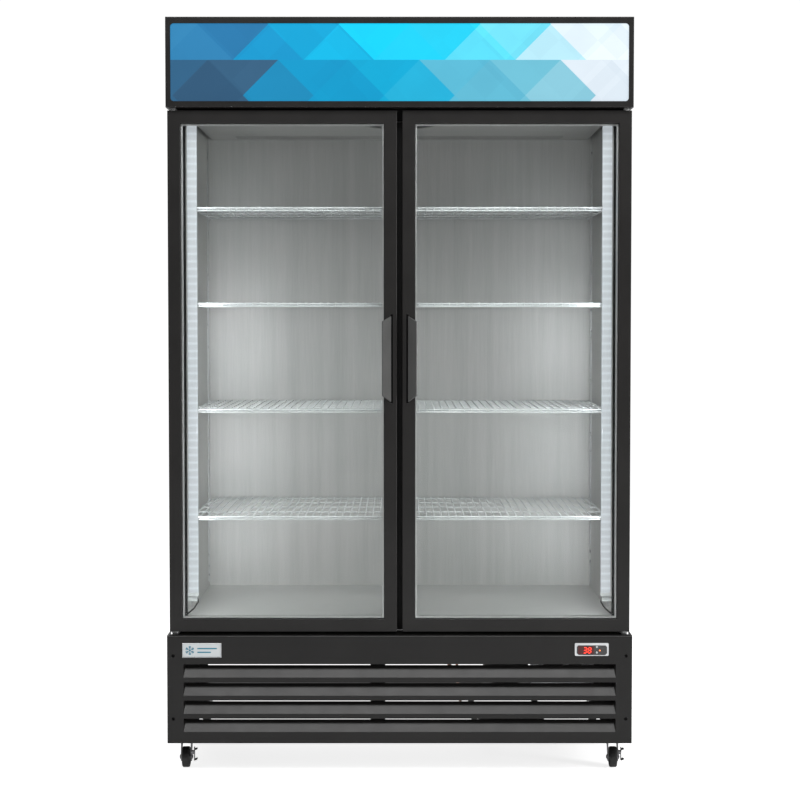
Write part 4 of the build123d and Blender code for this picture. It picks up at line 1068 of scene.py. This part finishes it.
paint_nodes()
soften_edges()
light_bars()
name_plate_emblem()
controller_face()
switch_marks()
panel_screw_heads()
hinges()
handle_grooves()
compressor()
condenser()
sheet_screws()
fan_wheel("condenser_fan", BACK, 75 * MM, 20 * MM, "condenser_fan_wheel")
fan_wheel("evaporator_fan", UP, 89 * MM, 22 * MM, "evaporator_fan_wheel")
for end_name in ENDS:
    for side_name, _ in SIDES:
        caster(end_name, side_name)
for side_name, _ in SIDES:
    brake(side_name)
for side_name, _ in SIDES:
    glass_unit(side_name)
    door_seals(side_name)
    for shelf in range(1, SHELVES + 1):
        wire_shelf(side_name, shelf)


# ---- studio ----
DOOR_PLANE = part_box("left_door_frame")[0].y
EYE_HEIGHT = 1.2135
EYE_DISTANCE = 5.052
LENS = 85.5
TILT = 2.416


def camera():
    data = bpy.data.cameras.new("camera")
    data.lens = LENS
    data.sensor_width = 36.0
    data.clip_end = 60.0
    data.shift_x = 0.0005
    eye = bpy.data.objects.new("camera", data)
    eye.location = (0.0, DOOR_PLANE - EYE_DISTANCE, EYE_HEIGHT)
    eye.rotation_euler = (math.radians(90 - TILT), 0.0, 0.0)
    bpy.context.scene.collection.objects.link(eye)
    bpy.context.scene.camera = eye


def area_light(name, place, aim, size, power, colour=(1.0, 1.0, 1.0)):
    """A rectangular lamp that the camera doesn't see."""
    data = bpy.data.lights.new(name, "AREA")
    data.shape = "RECTANGLE"
    data.size, data.size_y = size
    data.energy = power
    data.color = colour
    lamp = bpy.data.objects.new(name, data)
    lamp.location = place
    lamp.rotation_euler = (Vector(aim) - Vector(place)).to_track_quat("-Z", "Y").to_euler()
    lamp.visible_camera = False
    bpy.context.scene.collection.objects.link(lamp)


def seen_directly(tree):
    """1 for what the camera sees straight or through glass alone, 0 for light on its way to a surface."""
    rays = tree.nodes.new("ShaderNodeLightPath")
    bounces = tree.nodes.new("ShaderNodeMath")
    bounces.operation = "ADD"
    tree.links.new(rays.outputs["Diffuse Depth"], bounces.inputs[0])
    tree.links.new(rays.outputs["Glossy Depth"], bounces.inputs[1])
    direct = tree.nodes.new("ShaderNodeMath")
    direct.operation = "LESS_THAN"
    direct.inputs[1].default_value = 0.5
    tree.links.new(bounces.outputs[0], direct.inputs[0])
    return direct.outputs[0]


FLOOR_REACH = 24.0
FLOOR_GLOW = 0.22          # as a lamp
FLOOR_SEEN = 0.88          # as it looks
SURROUND_GLOW = 0.27       # as a lamp
SURROUND_SEEN = 1.05       # as it looks


def studio():
    """A pale floor to the horizon, an even white surround, and three large soft lights."""
    look = Look("studio_floor", Roughness=0.9, Specular_IOR_Level=0.1)
    pale = look.shade((0.90, 0.90, 0.90), 0.01, 1.5)
    look.feed("Base Color", pale)
    look.feed("Emission Color", pale)
    glow = look.span(seen_directly(look.tree), 0.0, 1.0, FLOOR_GLOW, FLOOR_SEEN)
    look.feed("Emission Strength", glow)
    data = bpy.data.meshes.new("studio_floor")
    edge = (-FLOOR_REACH, FLOOR_REACH)
    corners = [(edge[0], edge[0], 0), (edge[1], edge[0], 0), (edge[1], edge[1], 0), (edge[0], edge[1], 0)]
    data.from_pydata(corners, [], [(0, 1, 2, 3)])
    data.materials.append(look.material)
    floor = bpy.data.objects.new("studio_floor", data)
    bpy.context.scene.collection.objects.link(floor)
    floor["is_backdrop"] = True
    world = bpy.data.worlds.new("studio")
    world.use_nodes = True
    tree = world.node_tree
    seen = tree.nodes["Background"]
    seen.inputs[0].default_value = (1.0, 1.0, 1.0, 1.0)
    seen.inputs[1].default_value = SURROUND_SEEN
    lit = tree.nodes.new("ShaderNodeBackground")
    lit.inputs[0].default_value = (1.0, 1.0, 1.0, 1.0)
    lit.inputs[1].default_value = SURROUND_GLOW
    blend = tree.nodes.new("ShaderNodeMixShader")
    tree.links.new(seen_directly(tree), blend.inputs[0])
    tree.links.new(lit.outputs[0], blend.inputs[1])
    tree.links.new(seen.outputs[0], blend.inputs[2])
    tree.links.new(blend.outputs[0], tree.nodes["World Output"].inputs["Surface"])
    bpy.context.scene.world = world
    area_light("softbox", (0.5, -3.0, 3.9), (0.0, -0.3, 0.6), (5.0, 1.4), 160)
    area_light("side_light", (3.4, -1.9, 1.3), (0.0, -0.35, 1.1), (0.9, 2.4), 76)
    area_light("rear_light", (-1.5, 3.6, 3.2), (0.0, 0.4, 0.9), (2.4, 1.6), 40)


BAR_LIGHT_X = 0.538
# Height of the middle, length and watts of each lamp along a light bar.
BAR_LIGHTS = ((1.50, 0.34, 0.14), (1.12, 0.42, 0.60), (0.76, 0.34, 0.42), (0.50, 0.12, 0.20))


def inner_lights():
    """The light that the upright bars give, which builds up towards the pale floor of the cabinet."""
    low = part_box("led_light_bars")[0]
    for side, sign in SIDES:
        for z, length, power in BAR_LIGHTS:
            place = (sign * BAR_LIGHT_X, low.y + 18 * MM, z)
            aim = (sign * 0.10, 0.10, z - 0.05)
            area_light(f"{side}_bar_light_{z}", place, aim, (0.02, length), power, (0.95, 0.97, 1.0))


camera()
studio()
inner_lights()
bpy.context.scene.view_settings.view_transform = "Standard"
bpy.context.scene.cycles.use_denoising = True


def corners(box):
    return [list(box[0]), list(box[1])]


{"cad": corners(CAD_BOX), "visual": corners(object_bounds())}
